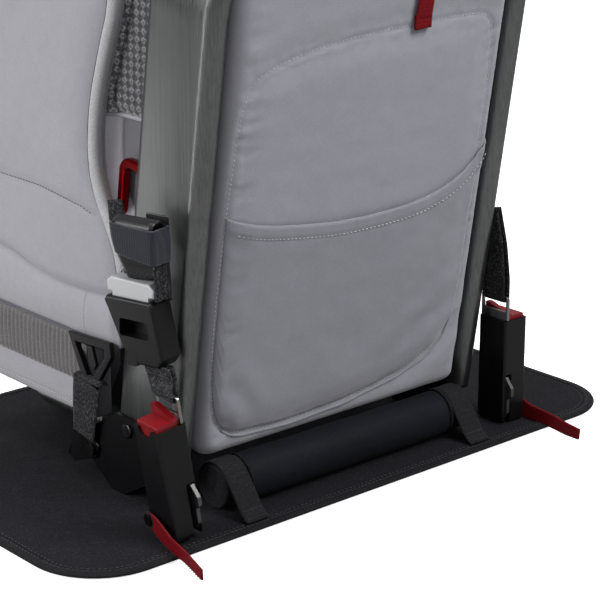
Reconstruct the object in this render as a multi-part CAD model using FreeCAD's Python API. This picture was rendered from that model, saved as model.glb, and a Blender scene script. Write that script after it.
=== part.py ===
import FreeCAD, Part
import os
import math
from FreeCAD import Vector as V

# Folding travel child seat: inverted-U oval tube back frame, folding seat,
# soft cover with side wings, headrest, harness, two anchor connectors on
# webbing, and the protector mat that it stands on.  Millimetres.
# +X is the seat's own left side, -Y is the front, +Z is up.

os.makedirs("parts", exist_ok=True)

# ---------------------------------------------------------------- dimensions
Y_SHIFT = 112.0          # moves the working frame to the box centre in Y
LEAN = 8.6               # lean of the back frame from vertical, degrees
LEG_Z = 39.0             # height of the leg's lower end above the floor
LEG_X = 172.5            # leg centre line from the middle
TUBE_R = 11.5            # half thickness of the oval tube
TUBE_C = 64.0            # distance between the oval's two circle centres
WALL = 2.0               # tube wall
HOOP_R = 115.0           # centre line radius of the hoop's corners
HOOP_L = 525.0           # length of the hoop, leg end to top
MAT_T = 3.0              # protector mat thickness
MAT_X = 328.0            # half width of the mat
MAT_REAR = 78.0
MAT_FRONT = -344.0
PIVOT_Y, PIVOT_Z = -80.0, 120.0   # seat fold pivot
PIN_R = 4.0
SEAT_X = 149.0           # half width of the seat cushion
WING_IN, WING_OUT = 161.5, 186.0
STRAP_W = 40.0
LOOK = 15.0              # turn of the left adjuster about Z, degrees

th = math.radians(LEAN)
TAN = math.tan(th)


def box(x0, x1, y0, y1, z0, z1):
    return Part.makeBox(x1 - x0, y1 - y0, z1 - z0, V(x0, y0, z0))


def wire(pts):
    return Part.makePolygon([V(*p) for p in pts] + [V(*pts[0])])


def prism_x(yz, x0, x1):
    f = Part.Face(wire([(x0, y, z) for y, z in yz]))
    return f.extrude(V(x1 - x0, 0, 0))


def prism_y(xz, y0, y1):
    f = Part.Face(wire([(x, y0, z) for x, z in xz]))
    return f.extrude(V(0, y1 - y0, 0))


def prism_z(xy, z0, z1):
    f = Part.Face(wire([(x, y, z0) for x, y in xy]))
    return f.extrude(V(0, 0, z1 - z0))


def cyl(p, axis, r, h):
    return Part.makeCylinder(r, h, V(*p), V(*axis))


def rounded(shape, r, pick=None):
    edges = [e for e in shape.Edges if pick is None or pick(e)]
    try:
        s = shape.makeFillet(r, edges)
        if s.isValid() and s.Volume > 0 and len(s.Solids) == 1:
            return s
    except Exception:
        pass
    return shape


def along(axis):
    def pick(e):
        if len(e.Vertexes) < 2:
            return False
        d = e.Vertexes[1].Point.sub(e.Vertexes[0].Point)
        if d.Length < 1e-6:
            return False
        d.normalize()
        return abs(getattr(d, axis)) > 0.999
    return pick


def lean(shape):
    s = shape.copy()
    s.rotate(V(0, 0, 0), V(1, 0, 0), -LEAN)
    s.translate(V(0, 0, LEG_Z))
    return s


def mirror(shape):
    return shape.mirror(V(0, 0, 0), V(1, 0, 0))


def rrect_xz(hw, z0, z1, rt, rb, y):
    """Face in an XZ plane: a rectangle with top radius rt and bottom radius rb."""
    def arc(cx, cz, r, a0, a1):
        am = (a0 + a1) / 2
        q = [V(cx + r * math.cos(math.radians(a)), y, cz + r * math.sin(math.radians(a))) for a in (a0, am, a1)]
        return Part.Arc(*q).toShape()
    e = []
    e.append(Part.makeLine(V(-hw + rb, y, z0), V(hw - rb, y, z0)))
    e.append(arc(hw - rb, z0 + rb, rb, -90, 0))
    e.append(Part.makeLine(V(hw, y, z0 + rb), V(hw, y, z1 - rt)))
    e.append(arc(hw - rt, z1 - rt, rt, 0, 90))
    e.append(Part.makeLine(V(hw - rt, y, z1), V(-hw + rt, y, z1)))
    e.append(arc(-hw + rt, z1 - rt, rt, 90, 180))
    e.append(Part.makeLine(V(-hw, y, z1 - rt), V(-hw, y, z0 + rb)))
    e.append(arc(-hw + rb, z0 + rb, rb, 180, 270))
    return Part.Face(Part.Wire(e))


def smooth_yz(pts, x0, x1, closed=True):
    """Solid from a smooth closed outline in YZ."""
    bs = Part.BSplineCurve()
    bs.interpolate([V(x0, y, z) for y, z in pts], PeriodicFlag=closed)
    f = Part.Face(Part.Wire([bs.toShape()]))
    return f.extrude(V(x1 - x0, 0, 0))


OUT = {}


def put(name, *shapes):
    OUT[name] = list(shapes)


# ------------------------------------------------------------ back frame tube
def hoop(r):
    """Oval tube bent to an inverted U, in the frame's own plane (X, Z), oval along Y."""
    def oval(cx, z):
        a = Part.makeLine(V(cx - r, 0, z), V(cx - r, -TUBE_C, z))
        b = Part.Arc(V(cx - r, -TUBE_C, z), V(cx, -TUBE_C - r, z), V(cx + r, -TUBE_C, z)).toShape()
        c = Part.makeLine(V(cx + r, -TUBE_C, z), V(cx + r, 0, z))
        d = Part.Arc(V(cx + r, 0, z), V(cx, r, z), V(cx - r, 0, z)).toShape()
        return Part.Face(Part.Wire([a, b, c, d]))
    top = HOOP_L - TUBE_R
    zs = top - HOOP_R
    xs = LEG_X - HOOP_R
    legs, corners = [], []
    for s in (1, -1):
        f = oval(s * LEG_X, 0)
        legs.append(f.extrude(V(0, 0, zs)))
        g = oval(s * LEG_X, zs)
        corners.append(g.revolve(V(s * xs, 0, zs), V(0, 1, 0), -s * 90))
    f = oval(LEG_X, zs)
    f.rotate(V(xs, 0, zs), V(0, 1, 0), -90)
    bar = f.extrude(V(-2 * xs, 0, 0))
    out = legs[0]
    for p in corners + [bar, legs[1]]:
        out = out.fuse(p)
    return out.removeSplitter()


tube = hoop(TUBE_R).cut(hoop(TUBE_R - WALL))


def oval_block(cx, r, z0, z1):
    a = Part.makeLine(V(cx - r, 0, z0), V(cx - r, -TUBE_C, z0))
    b = Part.Arc(V(cx - r, -TUBE_C, z0), V(cx, -TUBE_C - r, z0), V(cx + r, -TUBE_C, z0)).toShape()
    c = Part.makeLine(V(cx + r, -TUBE_C, z0), V(cx + r, 0, z0))
    d = Part.Arc(V(cx + r, 0, z0), V(cx, r, z0), V(cx - r, 0, z0)).toShape()
    return Part.Face(Part.Wire([a, b, c, d])).extrude(V(0, 0, z1 - z0))


BOLT_R = 3.5
BOLTS = [(-20.0, 16.0), (-50.0, 20.0)]      # across the leg, in the leaned frame (Y, Z)
for s in (1, -1):
    for by, bz in BOLTS:
        tube = tube.cut(cyl((s * LEG_X - 20, by, bz), (1, 0, 0), BOLT_R, 40))
put("back_hoop", lean(tube))

caps = []
for s in (1, -1):
    c = oval_block(s * LEG_X, TUBE_R, -3.0, 0).fuse(oval_block(s * LEG_X, TUBE_R - WALL, 0, 9)).removeSplitter()
    caps.append(lean(c))
put("leg_end_caps", *caps)

put("lower_cross_tube", lean(cyl((-156.3, -40, 40), (1, 0, 0), 9, 312.6).cut(cyl((-156.3, -40, 40), (1, 0, 0), 7.5, 312.6))))

# ------------------------------------------------- hinge brackets at leg feet
SIN, COS = math.sin(th), math.cos(th)


def world_yz(w, u):
    return (w * COS + u * SIN, LEG_Z - w * SIN + u * COS)


def bracket():
    outer_pts = [(-112, 30), (-110, 46), (-96, 58), (-64, 78), (-30, 76), (-14, 62), (-12, 28), (-22, 22), (-56, 3.1), (-74, 3.1)]
    outer = prism_x(outer_pts, 184.7, 188.2)
    inner_pts = [(-74, 3.1), (-56, 3.1), (-22, 22), (-12, 40), (-16, 80), (-66, 112), (-68, 130), (-72, 133), (-88, 133), (-93, 128), (-94, 112), (-84, 60)]
    inner = prism_x(inner_pts, 156.4, 160.4)
    foot = prism_x([(-74, 3.1), (-56, 3.1), (-22, 22), (-24, 25.5), (-57, 6.6), (-74, 6.6)], 156.4, 188.2)
    b = outer.fuse(inner).fuse(foot).removeSplitter()
    for by, bz in BOLTS:
        y, z = world_yz(by, bz)
        b = b.cut(cyl((150, y, z), (1, 0, 0), BOLT_R, 50))
    b = b.cut(cyl((150, PIVOT_Y, PIVOT_Z), (1, 0, 0), PIN_R, 20))
    b = b.cut(cyl((180, -97, 34), (1, 0, 0), 3.0, 20))
    return b


br = bracket()
put("hinge_brackets", br, mirror(br))

bolts = []
for s in (1, -1):
    for by, bz in BOLTS:
        y, z = world_yz(by, bz)
        head = cyl((188.2, y, z), (1, 0, 0), 6.5, 3.0)
        head = rounded(head, 1.2, lambda e: e.BoundBox.XMin > 191.0)
        shank = cyl((153.4, y, z), (1, 0, 0), BOLT_R, 34.8)
        nut = cyl((152.4, y, z), (1, 0, 0), 6.5, 4.0)
        b = head.fuse(shank).fuse(nut).removeSplitter()
        bolts.append(b if s > 0 else mirror(b))
put("leg_bolts", *bolts)

# front rivets carry the lap strap anchor plates
rivets, pins = [], []
for s in (1, -1):
    r = cyl((183.2, -97, 34), (1, 0, 0), 3.0, 9.2).fuse(cyl((192.3, -97, 34), (1, 0, 0), 5.5, 2.2)).fuse(cyl((182.2, -97, 34), (1, 0, 0), 5.0, 2.5)).removeSplitter()
    rivets.append(r if s > 0 else mirror(r))
    p = cyl((147.0, PIVOT_Y, PIVOT_Z), (1, 0, 0), PIN_R, 13.4).fuse(cyl((145.5, PIVOT_Y, PIVOT_Z), (1, 0, 0), 7.0, 3.0)).removeSplitter()
    pins.append(p if s > 0 else mirror(p))
put("anchor_rivets", *rivets)
put("pivot_pins", *pins)


def anchor_plate():
    pts = [(-136, 20), (-126, 14), (-92, 28), (-88, 40), (-97, 46), (-118, 60), (-126, 52)]
    p = prism_x(pts, 188.3, 191.0)
    p = p.cut(cyl((186, -97, 34), (1, 0, 0), 3.0, 10))
    return p


ap = anchor_plate()
put("anchor_plates", ap, mirror(ap))


def triangle_guide():
    outer = [(-126, 139), (-64, 143), (-62, 130), (-94, 86), (-101, 88)]
    inner = [(-116, 132), (-72, 135), (-72, 127), (-95, 98)]
    g = prism_x(outer, 188.4, 193.4)
    g = g.cut(prism_x(inner, 187, 195))
    bar = prism_x([(-101, 133.5), (-92, 134.2), (-86, 116), (-90, 111)], 189.4, 192.4)
    return g.fuse(bar).removeSplitter()


tg = triangle_guide()
put("triangle_guides", tg, mirror(tg))


def lap_strap():
    # flat webbing: through the triangular guide, down to the steel anchor plate
    a = prism_x([(-90, 92), (-84, 118), (-62, 108), (-104, 52), (-122, 64)], 194.2, 196.4)
    b = prism_x([(-104, 52), (-122, 64), (-126, 53), (-111, 43)], 191.2, 196.4)
    return a.fuse(b).removeSplitter()


ls = lap_strap()
put("lap_straps", ls, mirror(ls))

# ------------------------------------------------------ belt guides, anodised
def belt_guide():
    # rounded rectangular bar loop, standing in front of the leg's inner edge
    def ring(y0, y1, z0, z1, r, x):
        e = []
        def arc(cy, cz, a0, a1):
            am = (a0 + a1) / 2
            q = [V(x, cy + r * math.cos(math.radians(a)), cz + r * math.sin(math.radians(a))) for a in (a0, am, a1)]
            return Part.Arc(*q).toShape()
        e.append(Part.makeLine(V(x, y0 + r, z0), V(x, y1 - r, z0)))
        e.append(arc(y1 - r, z0 + r, -90, 0))
        e.append(Part.makeLine(V(x, y1, z0 + r), V(x, y1, z1 - r)))
        e.append(arc(y1 - r, z1 - r, 0, 90))
        e.append(Part.makeLine(V(x, y1 - r, z1), V(x, y0 + r, z1)))
        e.append(arc(y0 + r, z1 - r, 90, 180))
        e.append(Part.makeLine(V(x, y0, z1 - r), V(x, y0, z0 + r)))
        e.append(arc(y0 + r, z0 + r, 180, 270))
        return Part.Face(Part.Wire(e))
    a = ring(-113, -70, 168, 252, 13, 161.6).extrude(V(8.0, 0, 0))
    b = ring(-104.5, -78.5, 176.5, 243.5, 7, 160).extrude(V(12, 0, 0))
    g = a.cut(b)
    g = rounded(g, 2.2, lambda e: abs(e.BoundBox.XMax - e.BoundBox.XMin) < 0.01)
    g = g.cut(oval_block(LEG_X, TUBE_R, 150, 270))
    g = max(g.Solids, key=lambda k: k.Volume)
    return lean(g)


# -------------------------------------------------- webbing and adjuster, left
def turn_left(shape, x, y):
    s = shape.copy()
    s.rotate(V(0, 0, 0), V(0, 0, 1), LOOK)      # face normal swings towards +Y
    s.translate(V(x, y, 0))
    return s


# local frame of the strap stack: +X outward (face normal), Y along the width
STK = (221.5, 3.0)


def strap_loop(w, n0, n1, zlow0, zlow1, ztop, t):
    """Webbing folded over at the top: outer strand at n1, inner strand at n0."""
    r = (n1 - n0) / 2.0
    c = (n0 + n1) / 2.0
    outer = box(n0, n1, -w / 2, w / 2, min(zlow0, zlow1), ztop - r).fuse(
        cyl((c, -w / 2, ztop - r), (0, 1, 0), r, w))
    ri = r - t
    inner = box(c - ri, c + ri, -w / 2 - 1, w / 2 + 1, min(zlow0, zlow1) - 1, ztop - r).fuse(
        cyl((c, -w / 2 - 1, ztop - r), (0, 1, 0), ri, w + 2))
    s = outer.cut(inner)
    if zlow0 > zlow1:
        s = s.cut(box(n0 - 1, c, -w, w, zlow1 - 1, zlow0))
    elif zlow1 > zlow0:
        s = s.cut(box(c, n1 + 1, -w, w, zlow0 - 1, zlow1))
    return s.removeSplitter()


up_left = strap_loop(STRAP_W, -23.8, -2.0, 199.0, 221.5, 283.0, 3.5)
put("upper_strap_left", turn_left(up_left, *STK))
kp = box(-26.2, 0.4, -22.6, 22.6, 238.0, 268.0)
kp = rounded(kp, 4.0, along("z")).cut(box(-24.0, -1.8, -20.2, 20.2, 237, 269))
put("strap_keeper_left", turn_left(kp, *STK))


def adjuster():
    # tapered housing: open window through the face and a finger tongue below it
    pts = [(-23, 205), (-25.5, 201), (-4, 157), (2, 150), (30, 150), (35, 158), (25, 201), (22, 205)]
    f = Part.Face(wire([(-25, y, z) for y, z in pts]))
    b = f.extrude(V(25, 0, 0))
    b = rounded(b, 2.5, lambda e: abs(e.BoundBox.XMax - e.BoundBox.XMin) < 0.01 and e.BoundBox.XMax > -1)
    # pocket for the button, open at the top
    b = b.cut(box(-19, -3.5, -19.5, 19.5, 189, 206))
    # webbing way, straight down through the body behind the pocket
    b = b.cut(box(-24.0, -20.1, -20.5, 20.5, 198, 206))
    b = b.cut(box(-24.0, -20.1, 5.0, 25.0, 140, 199))
    # window in the face with a locking bar behind it
    b = b.cut(rounded(box(-14, 1, -9, 21, 173, 188), 2.0, along("x")))
    b = b.cut(box(-19.9, 1, -8, 9, 146, 162))
    return b.removeSplitter()


adj = adjuster()
adj = adj.fuse(rounded(box(-12.0, -1.5, -2.5, 7.5, 147.5, 167), 1.5, along("x"))).removeSplitter()
put("adjuster_body_left", turn_left(adj, *STK))
btn = prism_x([(-18.6, 192), (18.6, 192), (18.6, 207.6), (23.5, 208.0), (24.0, 214.5), (19, 219.5), (-20, 221.0), (-25.0, 217), (-24.5, 208.4), (-18.6, 207.6)], -18.6, -3.9)
btn = rounded(btn, 1.9, lambda e: abs(e.BoundBox.XMax - e.BoundBox.XMin) < 0.01 and e.BoundBox.ZMin > 207)
put("adjuster_button_left", turn_left(btn, *STK))

# ------------------------------------------------------------------ connectors
CX, CY, CZ = 15.0, 17.5, 104.0       # half X, half Y, height


def connector_parts():
    """Left-hand connector, upright, origin at the middle of its top; +X outward."""
    h = box(-CX, CX, -CY, CY, -CZ, 0)
    h = rounded(h, 3.0, along("z"))
    h = rounded(h, 4.0, lambda e: e.BoundBox.ZMax < -CZ + 0.01)
    h = h.cut(box(-CX + 2.4, CX - 2.4, -CY + 2.6, CY - 2.6, -46, 1))
    h = h.cut(cyl((CX - 4, -2.0, 1.5), (1, 0, 0), 9.0, 8))
    h = h.cut(box(-12.6, -4.6, -14.5, CY + 1, -CZ - 1, -54))      # slot of the steel hook
    h = h.cut(box(-12.6, 1.0, -14.5, 12, -CZ - 1, -60))
    # link plate: steel, slotted at the top for the webbing
    lk = rounded(box(-12.4, -9.6, -17.0, 17.0, 0.4, 24), 3.0, lambda e: e.BoundBox.ZMin > 23 and along("x")(e))
    lk = lk.fuse(box(-12.4, -9.6, -13.5, 13.5, -40, 1.0)).removeSplitter()
    lk = lk.cut(rounded(box(-15, -5, -14.4, 14.4, 9, 20), 1.0, along("x")))
    # red button, stepped top
    b = box(-9.3, 12.2, -14.5, 14.5, -30, 4)
    b = b.fuse(prism_x([(-14.5, 4), (14.5, 4), (14.5, 5), (-10, 13), (-14.5, 13)], -9.3, -3.5)).removeSplitter()
    b = rounded(b, 1.0, lambda e: e.BoundBox.ZMin > 3.0 and e.BoundBox.XMin > -3.0)
    # steel hook frame with its mouth at the lower end
    fr = prism_x([(-14, -56), (17, -56), (25, -66), (25, -74), (20, -78), (20, -92), (14, -99), (8, -99), (8, -86), (0, -86), (0, -99), (-8, -99), (-14, -94)], -12.3, -8.6)
    # spring pawl closing the mouth
    pw = prism_x([(-13.5, -78), (-6, -76), (7.0, -92), (5.0, -97), (-2.0, -94), (-13.5, -88)], -8.2, -4.9)
    pv = (-8.0, -81.5)
    pw = pw.cut(cyl((-20, pv[0], pv[1]), (1, 0, 0), 2.05, 30))
    # cross rivet on which the pawl turns, through frame and housing
    rv = cyl((5.0, pv[0], pv[1]), (-1, 0, 0), 2.0, 17.4)
    h = h.cut(cyl((0.0, pv[0], pv[1]), (1, 0, 0), 2.0, 5.0))
    fr = fr.cut(cyl((-20, pv[0], pv[1]), (1, 0, 0), 2.0, 30))
    # outer stud that holds the red pull
    st = cyl((CX - 1.0, -13.0, -88.0), (1, 0, 0), 2.5, 5.0).fuse(cyl((CX + 3.4, -13.0, -88.0), (1, 0, 0), 5.0, 1.8)).removeSplitter()
    h = h.cut(cyl((CX - 1.0, -13.0, -88.0), (1, 0, 0), 2.5, 5.0))
    return dict(housing=h, link=lk, button=b, hook=fr, pawl=pw, rivet=rv, stud=st, pv=pv)


CP = connector_parts()


def place_left(s):
    s = s.copy()
    s.rotate(V(0, 0, 0), V(0, 1, 0), TILT_L)           # top leans outward
    s.rotate(V(0, 0, 0), V(0, 0, 1), TURN_L)
    s.translate(V(*CONN_L))
    return s


CONN_L = (222.5, 44.3, 108.6)
CONN_R = (-200.0, 32.5, 107.4)
TILT_L, TURN_L = 9.3, -2.1


def place_right(s):
    s = mirror(s.copy())
    s.translate(V(*CONN_R))
    return s


for side, place in (("left", place_left), ("right", place_right)):
    put("connector_housing_" + side, place(CP["housing"]))
    put("connector_link_" + side, place(CP["link"]))
    put("connector_button_" + side, place(CP["button"]))
    put("connector_hook_" + side, place(CP["hook"]))
    put("connector_pawl_" + side, place(CP["pawl"]))
put("connector_rivets", *[place_left(CP["rivet"]), place_left(CP["stud"])])
put("connector_rivets_right", *[place_right(CP["rivet"]), place_right(CP["stud"])])


def at_left(p):
    v = Part.Vertex(V(*p))
    w = place_left(v)
    return w.Point


def at_right(p):
    w = place_right(Part.Vertex(V(*p)))
    return w.Point


LINK_L = at_left((-11.0, 0, 22))
LINK_R = at_right((-11.0, 0, 22))
STUD_L = at_left((CX + 2.2, -13.0, -88.0))
STUD_R = at_right((CX + 2.2, -13.0, -88.0))

# red pulls: a flat woven loop turning on the stud, out over the mat's rear edge
def pull(place, tilt, top_z, skew, end=86.5):
    t = math.radians(tilt)
    def zl(yl, zw):
        xl = CX + 1.7 + skew * (yl + 13.0)
        return (zw - top_z + xl * math.sin(t)) / math.cos(t)
    pts = [(-18.5, -88), (-17, -84), (-13, -82.5), (2, zl(2, 21.0)), (20, zl(20, 14.5)), (48, zl(48, 12.0)), (end - 6.5, zl(end - 6.5, 7.8)), (end, zl(end, 7.0)),
           (end, zl(end, 1.4)), (end - 6.5, zl(end - 6.5, 1.6)), (50, zl(50, 5.8)), (20, zl(20, 6.4)), (0, zl(0, 9.0)), (-13, -93.5), (-17, -92)]
    s = prism_x(pts, CX + 0.95, CX + 2.45)
    s = s.cut(cyl((CX - 5, -13.0, -88.0), (1, 0, 0), 2.7, 20))
    m = FreeCAD.Matrix()
    m.A12 = skew
    m.A14 = skew * 13.0
    s = s.transformGeometry(m)
    return place(s)


put("connector_pull_left", pull(place_left, TILT_L, CONN_L[2], 0.16, 78.0))
put("connector_pull_right", pull(place_right, 0.0, CONN_R[2], 0.03))


# lower strap, left: from the adjuster down round the link's upper bar
def lower_strap(lx, ly, lz, ztop, w):
    a = box(-4.7, 4.7, -w / 2, w / 2, 0, ztop - lz).fuse(cyl((0, -w / 2, 0), (0, 1, 0), 4.7, w))
    i = box(-2.7, 2.7, -w / 2 - 1, w / 2 + 1, 0, ztop - lz - 2.5).fuse(cyl((0, -w / 2 - 1, 0), (0, 1, 0), 2.7, w + 2))
    s = a.cut(i)
    s.translate(V(lx, ly, lz))
    return s.removeSplitter()


lo = lower_strap(0, 0, LINK_L.z, LINK_L.z + 6.0, 28.0)
lo.rotate(V(0, 0, 0), V(0, 0, 1), TURN_L)
lo.translate(V(LINK_L.x, LINK_L.y, 0))


def slab(x, y, z, turn, n, w):
    f = Part.Face(wire([(-n, -w, 0), (n, -w, 0), (n, w, 0), (-n, w, 0)]))
    f.rotate(V(0, 0, 0), V(0, 0, 1), turn)
    f.translate(V(x, y, z))
    return f.OuterWire


lk_ = math.radians(LOOK)
tx = STK[0] - 9.0 * math.cos(lk_) - 21.8 * math.sin(lk_)
ty = STK[1] - 9.0 * math.sin(lk_) + 21.8 * math.cos(lk_)
lo = lo.fuse(Part.makeLoft([slab(LINK_L.x, LINK_L.y, LINK_L.z + 6.0, TURN_L, 4.7, 14.0), slab(tx, ty, 149.8, LOOK, 4.7, 13.6)], True, True)).removeSplitter()
put("lower_strap_left", lo)
ur = lower_strap(0, 0, LINK_R.z, 214.0, 28.0)
ur.translate(V(LINK_R.x, LINK_R.y, 0))
put("upper_strap_right", ur)

# ----------------------------------------------------------- rear cover, pocket
HW = 158.0
board = rrect_xz(155.5, 52, 496, 96, 12, -16.5).extrude(V(0, 4, 0))
for s in (1, -1):
    x0, x1 = (45.4, 58) if s > 0 else (-58, -45.4)
    board = board.fuse(box(x0, x1, -26.9, -16.5, 240, 372))
    board = board.fuse(box(x0 - (4 if s > 0 else 0), x1 + (0 if s > 0 else 4), -26.9, -25.8, 240, 372))
put("back_board", lean(board.removeSplitter()))
rc = rrect_xz(HW, 11, 499.5, 98, 14, -12).extrude(V(0, 29, 0))
rc = rounded(rc, 9.0, lambda e: e.BoundBox.YMin > 16.0)
put("rear_cover", lean(rc))
pk = rrect_xz(141, 26, 232, 8, 22, 17.3).extrude(V(0, 2.4, 0))
put("rear_pocket", lean(pk))
bc = rrect_xz(150, 116, 388, 30, 26, -61).extrude(V(0, 34, 0))
bc = rounded(bc, 11.0, lambda e: e.BoundBox.YMax < -60.0)
put("backrest_cushion", lean(bc))
# red woven tab of the fold release, hanging from a slit in the rear cover
tab = prism_y([(-29, 380), (-48, 377), (-46, 442), (-29, 442)], 19.0, 21.2)
put("fold_release_tab", lean(tab))
# ------------------------------------------------------------------ side wings
WING = [(-62, 141), (-61, 180), (-60, 216), (-72, 240), (-90, 268), (-99, 300), (-92, 350), (-75, 398), (-56, 440), (-60, 462),
        (-110, 470), (-190, 468), (-244, 462), (-262, 430), (-274, 370), (-285, 300), (-291, 220), (-292, 160), (-284, 143), (-200, 139.5), (-120, 139.5)]
wl = prism_x(WING, WING_IN, WING_OUT).cut(box(160, 172, -106, 0, 100, 500))
put("side_wings", wl, mirror(wl))
ml = lean(prism_x([(-116, 150), (-64, 150), (-64, 424), (-100, 424), (-122, 400)], 151.2, 156.0))
put("wing_meshes", ml, mirror(ml))

bgl = belt_guide()
put("belt_guides", bgl, mirror(bgl))

# -------------------------------------------------------------- headrest parts
# slider plate and neck, then a U-shaped shell in front of the hoop
sl = box(-45, 45, -25.5, -20.0, 240, 438).fuse(box(-45, 45, -84.0, -25.5, 396, 438)).removeSplitter()
put("headrest_slider", lean(sl))


def u_shell(xo, t, y0, y1, z0, z1):
    o = box(-xo, xo, y0, y1, z0, z1)
    return o.cut(box(-xo + t, xo - t, y0 - 1, y1 - t, z0 - 1, z1 + 1))


sh = u_shell(150, 6, -186, -84.2, 444, 566)
sh = sh.fuse(box(-60, 60, -90.2, -84.2, 396, 446)).removeSplitter()
put("headrest_shell", lean(sh))
cvo = u_shell(156, 36, -192, -78.2, 438, 572)
cvo = rounded(cvo, 10, along("z"))
cv = cvo.cut(u_shell(150.2, 6.4, -186.2, -84.0, 437.9, 566.2))
cv = cv.cut(box(-61, 61, -90.6, -70, 430, 446))
put("headrest_cover", lean(cv))

# --------------------------------------------------------------------- harness
hs = []
for s in (1, -1):
    x0, x1 = (26, 52) if s > 0 else (-52, -26)
    st = box(x0, x1, -64.2, -61.6, 126, 372)
    hs.append(lean(st))
put("harness_straps", *hs)
sp = []
for s in (1, -1):
    x0, x1 = (20, 58) if s > 0 else (-58, -20)
    p = box(x0, x1, -74.5, -64.6, 254, 366)
    p = rounded(p, 3.5)
    sp.append(lean(p))
put("shoulder_pads", *sp)
cc = box(-48, 48, -70.4, -64.6, 184, 212)
cc = rounded(cc, 2.4)
put("chest_clip", lean(cc))

# buckle resting on the seat cushion
SEAT_TOP = 146.0
bk = rounded(box(-26, 26, -172, -118, SEAT_TOP + 0.3, SEAT_TOP + 20.3), 5.0, along("z"))
bk = bk.cut(box(-14, 14, -158, -136, SEAT_TOP + 9, SEAT_TOP + 22))
put("buckle_body", bk)
put("buckle_button", rounded(box(-13.8, 13.8, -157.8, -136.2, SEAT_TOP + 13.2, SEAT_TOP + 22.3), 1.5, along("z")))
put("crotch_strap", box(-14, 14, -214, -172.1, SEAT_TOP + 0.3, SEAT_TOP + 3.3))
tg2 = []
for s in (1, -1):
    x0, x1 = (3, 24) if s > 0 else (-24, -3)
    tg2.append(box(x0, x1, -117.9, -104, SEAT_TOP + 7.0, SEAT_TOP + 10.0))
put("harness_tongues", *tg2)

# -------------------------------------------------------------------- the seat
RAIL_X, RAIL_Z, RAIL_R = 139.0, 36.0, 10.0
def seat_tube(r):
    y0, y1, rc_ = -108.0, -278.0, 46.0
    pts = []
    e = [Part.makeLine(V(RAIL_X, y0, RAIL_Z), V(RAIL_X, y1 + rc_, RAIL_Z))]
    c = (RAIL_X - rc_, y1 + rc_)
    k = math.sqrt(0.5)
    e.append(Part.Arc(V(RAIL_X, y1 + rc_, RAIL_Z), V(c[0] + rc_ * k, c[1] - rc_ * k, RAIL_Z), V(RAIL_X - rc_, y1, RAIL_Z)).toShape())
    e.append(Part.makeLine(V(RAIL_X - rc_, y1, RAIL_Z), V(-RAIL_X + rc_, y1, RAIL_Z)))
    e.append(Part.Arc(V(-RAIL_X + rc_, y1, RAIL_Z), V(-c[0] - rc_ * k, c[1] - rc_ * k, RAIL_Z), V(-RAIL_X, y1 + rc_, RAIL_Z)).toShape())
    e.append(Part.makeLine(V(-RAIL_X, y1 + rc_, RAIL_Z), V(-RAIL_X, y0, RAIL_Z)))
    w = Part.Wire(e)
    prof = Part.Wire([Part.makeCircle(r, V(RAIL_X, y0, RAIL_Z), V(0, 1, 0))])
    return w.makePipeShell([prof], True, True)


sf = seat_tube(RAIL_R).cut(seat_tube(RAIL_R - 1.6))
put("seat_frame", sf)
arms = []
arm = prism_x([(-94, 120), (-92, 128), (-86, 133.0), (-76, 133.0), (-68, 128), (-66, 120), (-68, 112), (-98, 40), (-108, 26), (-132, 26), (-134, 44)], 149.6, 154.6)
arm = arm.cut(cyl((140, PIVOT_Y, PIVOT_Z), (1, 0, 0), PIN_R + 0.05, 20))
put("seat_arms", arm, mirror(arm))
put("seat_pan", box(-146, 146, -286, -106, 46.3, 50.5))
feet = []
for s in (1, -1):
    x0, x1 = (62, 96) if s > 0 else (-96, -62)
    f = box(x0, x1, -292, -264, MAT_T + 0.3, 33).cut(cyl((x0 - 1, -278, RAIL_Z), (1, 0, 0), RAIL_R + 0.05, 40))
    feet.append(f)
put("front_feet", *feet)
sc = box(-SEAT_X, SEAT_X, -290, -104, 50.8, SEAT_TOP)
for ax in ("z",):
    sc = rounded(sc, 16, along(ax))
sc = rounded(sc, 12, lambda e: e.BoundBox.ZMin > SEAT_TOP - 0.01)
# the rear corners leave room for the arms and pins
for s in (1, -1):
    x0, x1 = (142, 160) if s > 0 else (-160, -142)
    sc = sc.cut(box(x0, x1, -140, -90, 40, 160))
put("seat_cushion", sc)
sk = box(162.0, 185.4, -291, -106, 58, 138)
sk = rounded(sk, 8, along("z"))
link = box(149.2, 162.0, -284, -146, 62, 100)
sk = sk.fuse(link).removeSplitter()
put("seat_skirts", sk, mirror(sk))
kb = box(185.6, 187.8, -283, -108, 92, 136)
put("knit_bands", kb, mirror(kb))

# --------------------------------------------------------------------- the mat
def mat_face(inset):
    x, y0, y1, r = MAT_X - inset, MAT_FRONT + inset, MAT_REAR - inset, 66.0 - inset
    e = []
    def arc(cx, cy, a0, a1):
        am = (a0 + a1) / 2
        q = [V(cx + r * math.cos(math.radians(a)), cy + r * math.sin(math.radians(a)), 0) for a in (a0, am, a1)]
        return Part.Arc(*q).toShape()
    e.append(Part.makeLine(V(-x + r, y0, 0), V(x - r, y0, 0)))
    e.append(arc(x - r, y0 + r, -90, 0))
    e.append(Part.makeLine(V(x, y0 + r, 0), V(x, y1 - r, 0)))
    e.append(arc(x - r, y1 - r, 0, 90))
    e.append(Part.makeLine(V(x - r, y1, 0), V(-x + r, y1, 0)))
    e.append(arc(-x + r, y1 - r, 90, 180))
    e.append(Part.makeLine(V(-x, y1 - r, 0), V(-x, y0 + r, 0)))
    e.append(arc(-x + r, y0 + r, 180, 270))
    return Part.Face(Part.Wire(e))


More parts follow.
